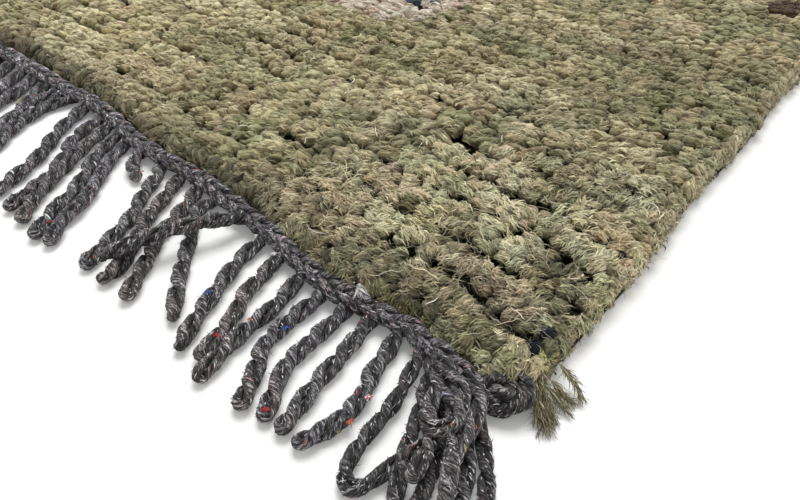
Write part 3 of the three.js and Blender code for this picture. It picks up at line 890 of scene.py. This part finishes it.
def flank_locks(ends, per_end, widest, uneven, seed):
    """Locks that run up each tuft's flank and curl over its shoulder."""
    tips, axis, length, size, dye, ahead = (np.repeat(a, per_end, axis=0) for a in ends)
    rng = np.random.default_rng(seed)
    count = len(tips)
    one_each = (count, 1)
    angle = rng.uniform(0, 2 * np.pi, one_each)
    radial = ahead * np.cos(angle) * 1.3 + np.cross(axis, ahead) * np.sin(angle)
    around = np.cross(axis, radial)
    low = rng.uniform(*FLANK_START, one_each)
    girth = FLANK_GIRTH * size[:, None]
    twist = rng.normal(0, 1.3, one_each)
    start = tips - axis * length[:, None] * (1 - low) + radial * girth * rng.uniform(0.85, 1.0, one_each)
    middle = start + axis * rng.uniform(1.0, 2.4, one_each) + radial * rng.uniform(0.0, 0.5, one_each)
    middle = middle + around * twist * 0.6
    end = middle + axis * rng.uniform(0.2, 1.6, one_each) - radial * rng.uniform(-0.4, 1.8, one_each)
    end = end + around * twist
    width = widest * np.exp(rng.normal(0, 0.4, count))
    # Painted shade: a lock that starts lower on the flank is darker.
    tone = np.exp(rng.normal(-0.05, uneven, one_each)) * (0.5 + 0.5 * low)
    return ribbons(start, middle, end, radial + axis * 0.4, width, dye * tone)


def stray_hairs(count, seed, reach, width, near_corner, dye):
    """Long loose hairs lying over the pile, most of them at the handled front right corner."""
    rng = np.random.default_rng(seed)
    near = rng.uniform(0, 1, count) < near_corner
    x = np.where(near, rng.uniform(*HAIRY_ACROSS, count), rng.uniform(*HAIRS_ACROSS, count))
    y = np.where(near, rng.uniform(*HAIRY_ALONG, count), rng.uniform(*HAIRS_ALONG, count))
    y = np.maximum(y, front_edge(x) + rng.uniform(4, 14, count))
    height = np.interp(edge_of(x, y)[0], ROLL_INSET, ROLL_HEIGHT) + rng.uniform(0.2, 2.0, count)
    bearing = rng.uniform(0, 2 * np.pi, count)
    curl = rng.normal(0, 0.32, count)
    long = reach * np.exp(rng.normal(0, 0.35, count))
    line = [np.stack([x, y, height], -1)]
    for _ in range(HAIR_STEPS):
        bearing = bearing + curl + rng.normal(0, 0.3, count)
        ahead = np.stack([np.cos(bearing), np.sin(bearing), rng.normal(0.0, 0.28, count)], -1)
        line.append(line[-1] + ahead * (long / HAIR_STEPS)[:, None])
    line = np.stack(line, 1)
    facing = unit(np.stack([rng.normal(0, 0.5, count), rng.normal(-0.5, 0.5, count), np.ones(count)], -1))
    half = unit(np.cross(unit(line[:, -1] - line[:, 0]), facing))[:, None] * (width / 2)
    taper = np.array([0.6] + [1.0] * (HAIR_STEPS - 1) + [0.3])[None, :, None]
    points = np.concatenate([line - half * taper, line + half * taper], 1)
    per = 2 * HAIR_STEPS + 2
    index = np.arange(HAIR_STEPS)
    strip = np.stack([index, index + 1, index + HAIR_STEPS + 2, index + HAIR_STEPS + 1], -1)
    faces = (np.arange(count)[:, None, None] * per + strip[None]).reshape(-1, 4)
    dyes = np.tile(dye, (count, per, 1)) * np.exp(rng.normal(0, 0.15, (count, 1, 1)))
    return points.reshape(-1, 3), [faces], np.clip(dyes, 0, 1).reshape(-1, 3), np.repeat(facing, per, axis=0)


def within(ends, near, far):
    """The ends at some distance from the front right corner, the most handled and brushed up one."""
    corner = np.hypot(ends[0][:, 0] - FIELD_WIDTH / 2, ends[0][:, 1] + FIELD_LENGTH / 2)
    return tuple(values[(corner >= near) & (corner < far)] for values in ends)


def bodies_of(ends, seed):
    parts = []
    for step, (near, far, *build) in enumerate(TUFT_ZONES):
        share = within(ends, near, far)
        if len(share[0]):
            parts.append(tuft_bodies(share, *build, seed + step))
    return joined(parts)


def locks_on(ends, seed):
    parts = []
    for step, (near, far, crown, flank, width, uneven) in enumerate(BRUSHED):
        share = within(ends, near, far)
        if len(share[0]) == 0:
            continue
        parts.append(crown_locks(share, crown, width, uneven, seed + step))
        parts.append(flank_locks(share, flank, width, uneven, seed + 10 + step))
    return parts


def build_pile():
    ends = cut_ends(pile_knots(), 14)
    edges = cut_ends(edge_knots(), 15)
    hairs = joined([stray_hairs(*build, dyes_of(colour)[0]) for *build, colour in HAIRS])
    pieces = []
    for number, chosen in enumerate(np.array_split(np.arange(len(ends[0])), PILE_PIECES)):
        bodies = bodies_of(tuple(values[chosen] for values in ends), 40 + 5 * number)
        pieces.append(mesh_piece(f"pile_tufts_{number + 1}", bodies, PILE_WOOL))
    pieces.append(mesh_piece("pile_locks", joined(locks_on(ends, 100)), LOOSE_FIBRE))
    pieces.append(mesh_piece("edge_tufts", bodies_of(edges, 60), PILE_WOOL))
    pieces.append(mesh_piece("edge_locks", joined(locks_on(edges, 200)), LOOSE_FIBRE))
    pieces.append(mesh_piece("stray_hairs", hairs, LOOSE_FIBRE))
    return pieces


# ---- Yarns and cords ----------------------------------------------------------------------

FUZZ = dyes_of("e0dede", "bdbbbd", "fffffe", "908e92", "565352", "cfccd1", "3d3b3e")
CHARCOAL, SMOKE, MAUVE, PEAT, DUST = dyes_of("c5c5c8", "e2e2e4", "cec5d3", "c2b5aa", "dacdbf")
ROSY_GREY = np.array((1.3, 0.88, 0.88))
FUZZ_LENGTH = (1.0, 3.2)
FUZZ_WIDTH = (0.22, 0.5)
# How much wider a yarn is than thick, how dark the painted shade is where two meet, how long one turn
# of its fibres is and how fast their pattern passes along it, where round it is 1.
YARN_FLATNESS = 1.28
GROOVE_SHADE = 0.08
PLY_TURN = 18.0
YARN_STRETCH = 0.42


def run_along(line):
    """How far along a line each of its points is."""
    return np.concatenate([[0], np.cumsum(np.linalg.norm(np.diff(line, axis=0), axis=1))])


def resample(points, step):
    """A smooth line through the places given, with a point every step, and how far along each is."""
    points = np.asarray(points, float)
    padded = np.concatenate([[2 * points[0] - points[1]], points, [2 * points[-1] - points[-2]]])
    line = []
    for k in range(1, len(padded) - 2):
        a, b, c, d = padded[k - 1 : k + 3]
        slope, bend, swing = c - a, 2 * a - 5 * b + 4 * c - d, 3 * b - a - 3 * c + d
        for t in np.linspace(0, 1, 24, endpoint=False):
            line.append(0.5 * (2 * b + slope * t + bend * t * t + swing * t**3))
    line = np.array(line + [points[-1]])
    run = run_along(line)
    places = np.linspace(0, run[-1], max(int(run[-1] / step), 4) + 1)
    return np.stack([np.interp(places, run, line[:, axis]) for axis in range(3)], -1), places


def square_frame(centres):
    """Along a line, level across it, and up from both."""
    tangent = unit(np.gradient(centres, axis=0))
    side = unit(np.cross(tangent, np.array([0.0, 0.0, 1.0])))
    return tangent, side, np.cross(side, tangent)


def yarn(centres, outward, radii, dye, rng, sides, dust=0.0, root_shade=1.0):
    """A yarn along its centres, lumpy as hand-spun yarn is, pressed flat against the one it is twisted
    with and painted darker there as shade, with flat ends. Its colour wanders from blue-grey to rose as the
    fibre it was spun from did. dust is how dusty it is point by point, and the last argument a tone for
    each point: painted shade where a cord runs in under the heading."""
    tangent = unit(np.gradient(centres, axis=0))
    outward = unit(outward - tangent * np.sum(outward * tangent, -1, keepdims=True))
    across = np.cross(tangent, outward)
    run = run_along(centres)
    count = len(run)
    angle = 2 * np.pi * np.arange(sides) / sides
    lumps = 1 + 0.07 * np.sin(run * 0.9 + rng.uniform(0, 6)) + rng.normal(0, 0.03, count)
    bumps = 1 + rng.normal(0, 0.055, (count, sides))
    reach = (radii * lumps)[:, None] * bumps
    over, sideways = np.cos(angle)[None, :, None], np.sin(angle)[None, :, None]
    ring = over * outward[:, None] + sideways * across[:, None]
    ring = ring + (YARN_FLATNESS - 1) * sideways * across[:, None]
    points = centres[:, None] + reach[:, :, None] * ring
    spun = angle[None] + run[:, None] * 2 * np.pi / PLY_TURN
    onward = np.repeat(run[:, None] * YARN_STRETCH, sides, 1)
    grain = np.stack([2 * np.cos(spun), 2 * np.sin(spun), onward], -1) + rng.uniform(0, 500, 3)
    tone = np.exp(0.3 * drift(run, 0 * run, 6, rng.integers(1000)) + rng.normal(0, 0.06, count))[:, None]
    rosy = np.clip(1.2 * drift(run, 0 * run, 6, rng.integers(1000)) - 0.5, 0, 0.45)[:, None]
    tinted = dye + (ROSY_GREY * np.mean(dye) - dye) * rosy
    tinted = tinted + (DUST - tinted) * np.broadcast_to(dust, count)[:, None]
    # Painted shade on the side that lies against the yarn it is twisted with.
    groove = GROOVE_SHADE + (1 - GROOVE_SHADE) * smoothstep(np.cos(angle), -0.7, 0.55)
    tone = tone * np.broadcast_to(root_shade, count)[:, None]
    dyes = np.clip((tinted * tone)[:, None] * groove[None, :, None], 0, 1)
    index = np.arange(count * sides).reshape(count, sides)
    after = np.roll(index, -1, axis=1)
    quads = np.stack([index[:-1], after[:-1], after[1:], index[1:]], -1).reshape(-1, 4)
    ends = np.stack([index[0][::-1], index[-1]])
    return points.reshape(-1, 3), [quads, ends], dyes.reshape(-1, 3), grain.reshape(-1, 3)


def yarn_fuzz(part, sides, share, rng):
    """Short pale and dark fibres that lie slanting on a yarn, some of them standing off it. share is
    how many there are for each point of the yarn."""
    rings = part[0].reshape(-1, sides, 3)
    count = int(share * len(rings) * sides)
    one_each = (count, 1)
    ring = rng.integers(1, len(rings) - 1, count)
    foot = rings[ring, rng.integers(0, sides, count)]
    core = rings.mean(1)
    radial = unit(foot - core[ring])
    along = unit(core[ring + 1] - core[ring - 1]) * rng.choice([-1, 1], one_each)
    heading = unit(along + np.cross(along, radial) * rng.normal(-0.7, 0.5, one_each))
    long = rng.uniform(*FUZZ_LENGTH, one_each)
    lift = np.abs(rng.normal(0, 0.28, one_each)) * long
    start = foot - heading * long * 0.4 - radial * 0.25
    middle = foot + radial * (0.18 + lift * 0.3)
    end = foot + heading * long * 0.6 + radial * (lift - 0.2)
    dye = FUZZ[rng.integers(0, len(FUZZ), count)] * np.exp(rng.normal(0, 0.2, one_each))
    return ribbons(start, middle, end, radial, rng.uniform(*FUZZ_WIDTH, count), np.clip(dye, 0, 1))


def warp_dye(rng):
    """The dye of one yarn: grey, tinged with mauve or peat."""
    tint = MAUVE if rng.uniform() < 0.5 else PEAT
    grey = CHARCOAL + (SMOKE - CHARCOAL) * rng.uniform(0, 1)
    return grey + (tint - grey) * rng.uniform(0, 0.5)


def twisted_cord(route, rng, rings, stout=1.0):
    """One warp yarn, doubled back on itself at the tip, its two legs twisted together along the route."""
    step, sides = rings
    centres, run = resample(route, step)
    # The doubled end reaches on past the last centre.
    short = run < run[-1] - 1.3 * CORD_YARN
    centres, run = centres[short], run[short]
    tangent, side, up = square_frame(centres)
    phase = rng.uniform(0, 2 * np.pi)
    # The cords towards the left are twisted less hard.
    slack = 1.28 - 0.28 * smoothstep(centres[0, 0], -60, 160)
    pace = CORD_TURN * rng.uniform(0.85, 1.15) * slack
    angle = phase + 2 * np.pi * run / pace
    # The legs lie side by side longer than one lies over the other.
    angle = angle - 0.3 * np.sin(2 * angle)
    outward = side * np.cos(angle)[:, None] + up * np.sin(angle)[:, None]
    apart = stout * CORD_TWIST_RADIUS * (1 + 0.12 * np.sin(run * 0.35 + phase))[:, None]
    there, back = centres + outward * apart, centres - outward * apart
    bend = np.radians([30, 60, 90, 120, 150])[:, None]
    last, ahead, reach = outward[-1], tangent[-1], apart[-1]
    tip_out = last * np.cos(bend) + ahead * np.sin(bend)
    tip = centres[-1] + last * reach * np.cos(bend) + ahead * reach * 1.25 * np.sin(bend)
    path = np.concatenate([there, tip, back[::-1]])
    out = np.concatenate([outward, tip_out, -outward[::-1]])
    radii = np.full(len(path), stout * CORD_YARN) * (1 + 0.06 * np.sin(np.arange(len(path)) * 0.23 + phase))
    # Dust and lint gather at the tip.
    dusty = rng.uniform(0.0, 0.55) * smoothstep(run, run[-1] - 18, run[-1] - 2)
    dust = np.concatenate([dusty, np.full(len(tip), dusty[-1]), dusty[::-1]])
    # Painted shade: the yarn is darker near its root, where it runs in under the heading.
    root_tone = 0.5 + 0.5 * smoothstep(run, 2, 20)
    root_shade = np.concatenate([root_tone, np.ones(len(tip)), root_tone[::-1]])
    return yarn(path, out, radii, warp_dye(rng), rng, sides, dust, root_shade)


def rope_yarns(centres, run, phase, turn, radius, apart, rng, sides):
    """Two yarns twisted round each other along a line."""
    _, side, up = square_frame(centres)
    radii = np.full(len(run), radius)
    radii[0] = radii[-1] = radius * 0.5
    parts = []
    for start in (0, math.pi):
        angle = phase + start + 2 * np.pi * run / turn
        outward = side * np.cos(angle)[:, None] + up * np.sin(angle)[:, None]
        parts.append(yarn(centres + outward * apart, outward, radii, warp_dye(rng), rng, sides))
    return parts


def shade(parts, tone_at):
    """Makes each part lighter or darker, by a tone worked out from where its points are."""
    for points, _, dyes, _ in parts:
        dyes *= tone_at(points)[:, None]


def fuzzy_piece(name, yarns, sides, share, seed):
    """Yarns as one piece, and the fibres on them as another."""
    rng = np.random.default_rng(seed)
    piece = mesh_piece(name, joined(yarns), WARP_YARN)
    fibres = joined([yarn_fuzz(part, sides, share, rng) for part in yarns])
    return [piece, mesh_piece(name + "_fibres", fibres, LOOSE_FIBRE)]


def on_floor(route):
    """A cord's route, with the floor's height for the places that have none."""
    return [place if len(place) == 3 else (*place, LAID_LIFT) for place in route]


def cord_lean(comb, x, k):
    eased = smoothstep(x, comb["lean_from"], comb["lean_to"])
    return comb["steep"] + (comb["slight"] - comb["steep"]) * eased + LEAN_SWAY * math.sin(LEAN_RHYTHM * k)


def cord_reach(x, k):
    skew = FRINGE_REACH_SKEW * x / (FIELD_WIDTH / 2)
    sway = FRINGE_REACH_SWAY * (0.5 + 0.5 * math.sin(REACH_RHYTHM * k))
    return FIELD_LENGTH / 2 + FRINGE_REACH + skew - sway


def comb_route(comb, sign, k, rng):
    """A cord from under the heading to its tip, with a few soft kinks on the way."""
    x = comb["from"] + k * CORD_PITCH
    edge = front_edge(x) if sign < 0 else back_edge(x)
    root = np.array([x, edge + sign * (2 * SEAM_GAP + HEADING_WIDTH - CORD_TUCK)])
    reach = cord_reach(x, k)
    sideways = (reach - abs(root[1])) * math.tan(math.radians(cord_lean(comb, x, k)))
    tip = np.array([x + sideways, sign * reach])
    onward = unit(tip - root)
    aside = np.array([-onward[1], onward[0]])
    bow = CORD_BOW * math.sin(BOW_RHYTHM * k)
    route = []
    for along in np.linspace(0, 1, COMB_STATIONS):
        kink = rng.normal(0, 1.0) if 0 < along < 1 else 0
        place = root + (tip - root) * along + aside * (bow * math.sin(math.pi * along) + kink)
        route.append((*place, COMB_LIFT))
    return route


# The front cords near the gathered corner, one by one: x and y from under the heading to the tip, and
# the height of the yarn's middle where it lies over a neighbour.
NEAR_CORDS = [
    [(-45, -404), (-44, -425), (-37, -440), (-28, -454), (-17, -470), (-10, -486)],
    [(-33, -404), (-34, -422), (-29, -437), (-22, -450), (-10, -466), (2, -484)],
    [(-21, -404), (-7, -428), (4, -442), (15, -455), (24, -470), (33, -487)],
    [(-3, -405), (12, -434), (26, -448), (39, -465), (44, -477), (49, -489)],
    [(8, -406), (19, -427), (24, -436), (33, -450), (49, -475), (63, -490)],
    [(22, -411), (35, -434), (47, -448), (59, -463), (66, -476), (78, -492)],
    [(32, -412), (44, -432), (59, -450), (70, -464, 4), (77, -478, 4), (87, -490)],
    [(46, -413), (50, -420), (58, -428), (69, -433)],
    [(62, -412), (75, -426), (84, -440), (94, -452), (101, -464), (112, -488)],
    [(80, -412), (92, -432), (103, -451), (113, -464), (123, -477), (126, -489)],
    [(95, -413), (104, -427), (111, -441), (117, -454), (127, -467), (142, -488)],
    [(112, -418), (115, -432), (130, -447), (141, -459), (152, -470), (166, -483)],
    [(138, -421, 7), (134, -436, 11), (129, -449, 12), (126, -460, 12), (122, -471, 11), (118, -483, 8)],
    [(153, -424), (157, -441), (165, -460), (173, -477), (181, -491)],
    [(168, -427), (173, -444), (176, -455), (182, -465), (187, -478), (190, -489)],
    [(183, -428), (188, -442), (191, -455), (192, -468), (195, -483), (198, -496)],
    [(199, -428), (200, -441), (201, -457), (204, -470), (211, -480), (219, -494)],
    [(212, -427), (214, -441), (215, -454), (217, -470), (222, -480), (229, -492)],
    [(224, -427), (226, -438), (229, -453), (231, -466), (234, -479), (237, -492)],
    [(237, -428), (241, -440), (243, -450), (248, -463), (249, -478), (245, -492)],
]


# Tufts of bright lint spun into the cords or caught on their upper side: their locks, then where each is
# and its colour.
LINT_LOCKS = 16
LINT_LENGTH = (1.0, 2.6)
LINT_WIDTH = (0.3, 0.8)
LINT_ABOVE = 5.2
CAUGHT_LINT = [
    (149, -428, "f4f1ea"), (162, -428, "f4f1ea"), (197, -425, "f4f1ea"), (292, -449, "f4f1ea"),
    (73, -435, "f4f1ea"), (-36, -432, "f4f1ea"), (188, -479, "c8403f"), (228, -490, "c8403f"),
    (255, -460, "cf3f44"), (257, -461, "cf3f44"), (260, -475, "cf3f44"), (259, -477, "c77a55"),
    (191, -465, "c77a55"), (166, -466, "4a6db0"), (208, -459, "3f62ab"), (122, -463, "c0737a"),
    (68, -428, "c98f92"), (76, -483, "8f4a3c"), (-49, -432, "d9cf62"), (-47, -434, "d9cf62"),
]


def caught_lint(cords, rng):
    """A little flat tuft of lint on the cord nearest to each place."""
    surface = np.concatenate([part[0] for part in cords])
    surface = surface[surface[:, 2] > LINT_ABOVE]
    one_each, three_each = (LINT_LOCKS, 1), (LINT_LOCKS, 3)
    parts = []
    for x, y, colour in CAUGHT_LINT:
        foot = surface[np.argmin(np.hypot(surface[:, 0] - x, surface[:, 1] - y))]
        bearing = rng.uniform(-2.4, -0.4, LINT_LOCKS)
        onward = np.stack([np.cos(bearing), np.sin(bearing), 0 * bearing], -1)
        onward = onward * rng.uniform(*LINT_LENGTH, one_each)
        middle = foot + rng.normal(0, 0.5, three_each) * (1, 1, 0.3) + (0, 0, 0.25)
        facing = np.array([0.1, -0.3, 1.0]) + rng.normal(0, 0.2, three_each)
        dye = dyes_of(colour) * np.exp(rng.normal(0, 0.25, one_each))
        start, end = middle - onward / 2 - (0, 0, 0.3), middle + onward / 2 - (0, 0, 0.3)
        parts.append(ribbons(start, middle, end, facing, rng.uniform(*LINT_WIDTH, LINT_LOCKS), dye))
    return mesh_piece("caught_lint", joined(parts), LOOSE_FIBRE)


def comb_cords(comb, sign, rng, rings):
    """The cords of one comb, from its first to its last."""
    return [twisted_cord(comb_route(comb, sign, k, rng), rng, rings) for k in range(comb["cords"])]


def build_fringe():
    """The front fringe, its fibres and the lint caught in it, then the back fringe and its fibres."""
    rng = np.random.default_rng(61)
    front = comb_cords(FRONT_COMB, -1, rng, FRONT_RINGS)
    front += [twisted_cord(on_floor(route), rng, LAID_RINGS) for route in NEAR_CORDS]
    back = comb_cords(BACK_COMB, 1, np.random.default_rng(62), BACK_RINGS)
    front_pieces = fuzzy_piece("front_fringe", front, FRONT_RINGS[1], FRONT_FUZZ, 64)
    front_pieces.append(caught_lint(front, np.random.default_rng(63)))
    return front_pieces, fuzzy_piece("back_fringe", back, BACK_RINGS[1], BACK_FUZZ, 65)


def build_heading(sign):
    """Two twined ropes side by side along one end, pulled down a little at each warp."""
    rng = np.random.default_rng(70 + sign)
    edge = front_edge if sign < 0 else back_edge
    half = FIELD_WIDTH / 2 - HEADING_INSET
    x = np.arange(-half, half, HEADING_STEP)
    # The cord can't follow the edge's small turns, so it takes the mean of this many places each way.
    smooth = np.convolve(np.pad(edge(x), 8, "edge"), np.ones(17) / 17, "valid")
    warps = 2 * np.pi * x / CORD_PITCH
    parts = []
    for out, height, hand in HEADING_ROPES:
        sway = 0.35 * np.sin(warps) + 0.9 * drift(x, 0 * x, 17, 75 + hand)
        y = smooth + sign * (SEAM_GAP + out + sway)
        z = height + 0.45 * np.cos(warps) + 0.6 * drift(x, 0 * x, 19, 79 + hand)
        centres = np.stack([x, y, z], -1)
        twist = (rng.uniform(0, 6), hand * HEADING_TURN, HEADING_YARN, HEADING_TWIST_RADIUS)
        parts += rope_yarns(centres, run_along(centres), *twist, rng, HEADING_SIDES)
    # Paler towards the left, darker towards the right.
    shade(parts, lambda points: 1.5 - 0.45 * smoothstep(points[:, 0], -120, 120))
    name = "front_heading" if sign < 0 else "back_heading"
    return fuzzy_piece(name, parts, HEADING_SIDES, HEADING_FUZZ, 77 + sign)


# ---- The corner: bunch, loop and yarn tails -------------------------------------------------

# How thick the bunch's cords are beside the fringe's, and how dark the undermost of them is.
BUNCH_STOUT = 0.82
BUNCH_SHADE = 0.36
# The bunch's cords, one by one: the last warps and the heading's ends, lying over each other.
BUNCH_CORDS = [
    [(250, -428, 6), (255, -444, 5), (259, -460, 4), (261, -478, 4), (265, -490, 4), (271, -492, 4),
     (274, -483, 4), (276, -472, 5), (281, -462, 7)],
    [(256, -430, 5), (264, -446, 4), (271, -462, 4), (277, -476, 4), (285, -490, 4)],
    [(262, -430, 5), (272, -446, 4), (282, -462, 4), (288, -478, 4), (291, -493, 4)],
    [(268, -431, 5), (281, -446, 4), (291, -458, 4), (299, -472, 4), (303, -487, 4)],
    [(274, -432, 6), (286, -444, 5), (297, -456, 4), (305, -468, 4), (310, -480, 4)],
    [(259, -433, 9), (268, -445, 11), (273, -456, 11), (281, -467, 10), (284, -481, 9)],
    [(266, -433, 10), (271, -444, 12), (280, -452, 12), (288, -464, 11), (296, -478, 9), (299, -492, 7)],
    [(272, -434, 10), (283, -441, 12), (288, -452, 12), (290, -466, 11), (298, -482, 8)],
    [(262, -437, 13), (270, -441, 15), (279, -446, 15), (284, -456, 14), (279, -463, 13), (272, -459, 12)],
]
# The loop: the heading's end, which winds round on itself and fills its own middle, and the leg under it.
CORNER_LOOP = [
    (271, -429, 6), (275, -425.5, 8), (281, -422, 9.5), (288, -420.5, 9.5), (293.5, -423.5, 8.5),
    (294.5, -429, 7), (290, -434, 5.5), (283, -434.5, 6), (278.5, -431.5, 7.5), (281.5, -427.5, 9),
    (287, -426.5, 9), (291, -429, 8.5), (288, -431.5, 8.5), (283, -430.5, 9),
]
CORNER_LEG = [(268, -436, 4), (277, -437, 4), (286, -436, 4), (292, -432, 4)]
LOOP_TURN = 26.0
LOOP_YARN = 1.75
LOOP_TWIST_RADIUS = 1.2
LOOP_SHADE = 0.72
# A pale tuft caught in the heading.
PALE_TUFT = [(211, -424, 9.5), (213, -425, 10.5), (215, -426, 9.5)]
# The soft end of pile yarn that hangs down outside the loop, then the thin twisted ones.
HANGING_END = [(291, -413, 9), (296, -419, 7), (300, -424, 5), (303, -427, 3), (305, -429.5, 1.2)]
THIN_ENDS = [
    [(296, -404, 9), (303, -405, 5), (306.5, -406.5, 3), (310, -409, 1.6)],
    [(297, -411, 6), (303, -411.7, 3), (308, -411, 1.6)],
    [(297, -415, 6), (304, -416, 3), (309, -417.3, 1.4)],
    [(299, -417, 4), (303, -421, 2), (306, -424, 1.2)],
]
# How dark these ends are and how long their locks, then for each kind of end and for the pale tuft: how
# many locks there are, how far they spread and how wide they are.
TAIL_SHADE = 0.5
FRAYED_LENGTH = (3.0, 7.0)
HANGING_LOCKS = (800, 1.9, 0.5)
THIN_LOCKS = (140, 0.42, 0.45)
PALE_LOCKS = (60, 0.7, 0.9)


def build_bunch():
    rng = np.random.default_rng(81)
    parts = [twisted_cord(route, rng, BUNCH_RINGS, BUNCH_STOUT) for route in BUNCH_CORDS]
    # The ones underneath are shaded by those on top.
    shade(parts, lambda points: BUNCH_SHADE + (1 - BUNCH_SHADE) * smoothstep(points[:, 2], 3, 12))
    return fuzzy_piece("corner_bunch_cords", parts, BUNCH_RINGS[1], BUNCH_FUZZ, 84)


def build_corner_loop():
    rng = np.random.default_rng(82)
    parts = []
    for route in (CORNER_LOOP, CORNER_LEG):
        twist = (rng.uniform(0, 6), LOOP_TURN, LOOP_YARN, LOOP_TWIST_RADIUS)
        parts += rope_yarns(*resample(route, LOOP_RINGS[0]), *twist, rng, LOOP_RINGS[1])
    shade(parts, lambda points: np.full(len(points), LOOP_SHADE))
    return fuzzy_piece("corner_loop_cord", parts, LOOP_RINGS[1], LOOP_FUZZ, 85)


def frayed_locks(route, count, spread, widest, dyes, rng):
    """Locks of fibre along a line, splaying as they go."""
    centres, run = resample(route, 0.5)
    one_each, three_each = (count, 1), (count, 3)
    station = rng.integers(0, max(len(run) - 4, 1), count)
    along = (run[station] / run[-1])[:, None]
    off = np.clip(rng.normal(0, 1, three_each), -1.7, 1.7) * (0.6 + 0.5 * along) * (1, 1, 0.7) * spread
    start = centres[station] + off
    heading = unit(unit(np.gradient(centres, axis=0))[station] + rng.normal(0, 0.3, three_each) + off * 0.12)
    long = rng.uniform(*FRAYED_LENGTH, one_each) * (1.15 - 0.5 * along)
    middle = start + heading * long * 0.5 + (0, 0, 0.4)
    end = start + heading * long + rng.normal(0, 0.7, three_each) - (0, 0, 0.8)
    facing = unit(off + (0.2, -0.5, 1.6))
    dye = dyes[rng.integers(0, len(dyes), count)] * np.exp(rng.normal(0, 0.3, one_each))
    width = rng.uniform(0.35, 1.0, count) * widest
    return ribbons(start, middle, end, facing, width, np.clip(dye, 0, 1))


def build_tails():
    """Ends of pile yarn that hang out at the corner, frayed, and a pale tuft caught in the heading."""
    rng = np.random.default_rng(83)
    browned = np.array([OLIVE, MOSS, CLAY, MOSS]) * TAIL_SHADE
    parts = [frayed_locks(HANGING_END, *HANGING_LOCKS, browned, rng)]
    parts += [frayed_locks(route, *THIN_LOCKS, browned, rng) for route in THIN_ENDS]
    parts.append(frayed_locks(PALE_TUFT, *PALE_LOCKS, dyes_of("fffff7"), rng))
    return mesh_piece("yarn_tail_fibres", joined(parts), LOOSE_FIBRE)


# ---- Putting it together --------------------------------------------------------------------

backing = ground_sheet()
pile = build_pile()
front_fringe, back_fringe = build_fringe()
front_heading = build_heading(-1)
back_heading = build_heading(1)
bunch = build_bunch()
loop = build_corner_loop()
tails = build_tails()

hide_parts("field")
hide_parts("heading_front")
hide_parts("heading_back")
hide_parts("fringe_front")
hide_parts("fringe_back")
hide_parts("corner_bunch")
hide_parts("corner_loop")
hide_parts("yarn_tails")
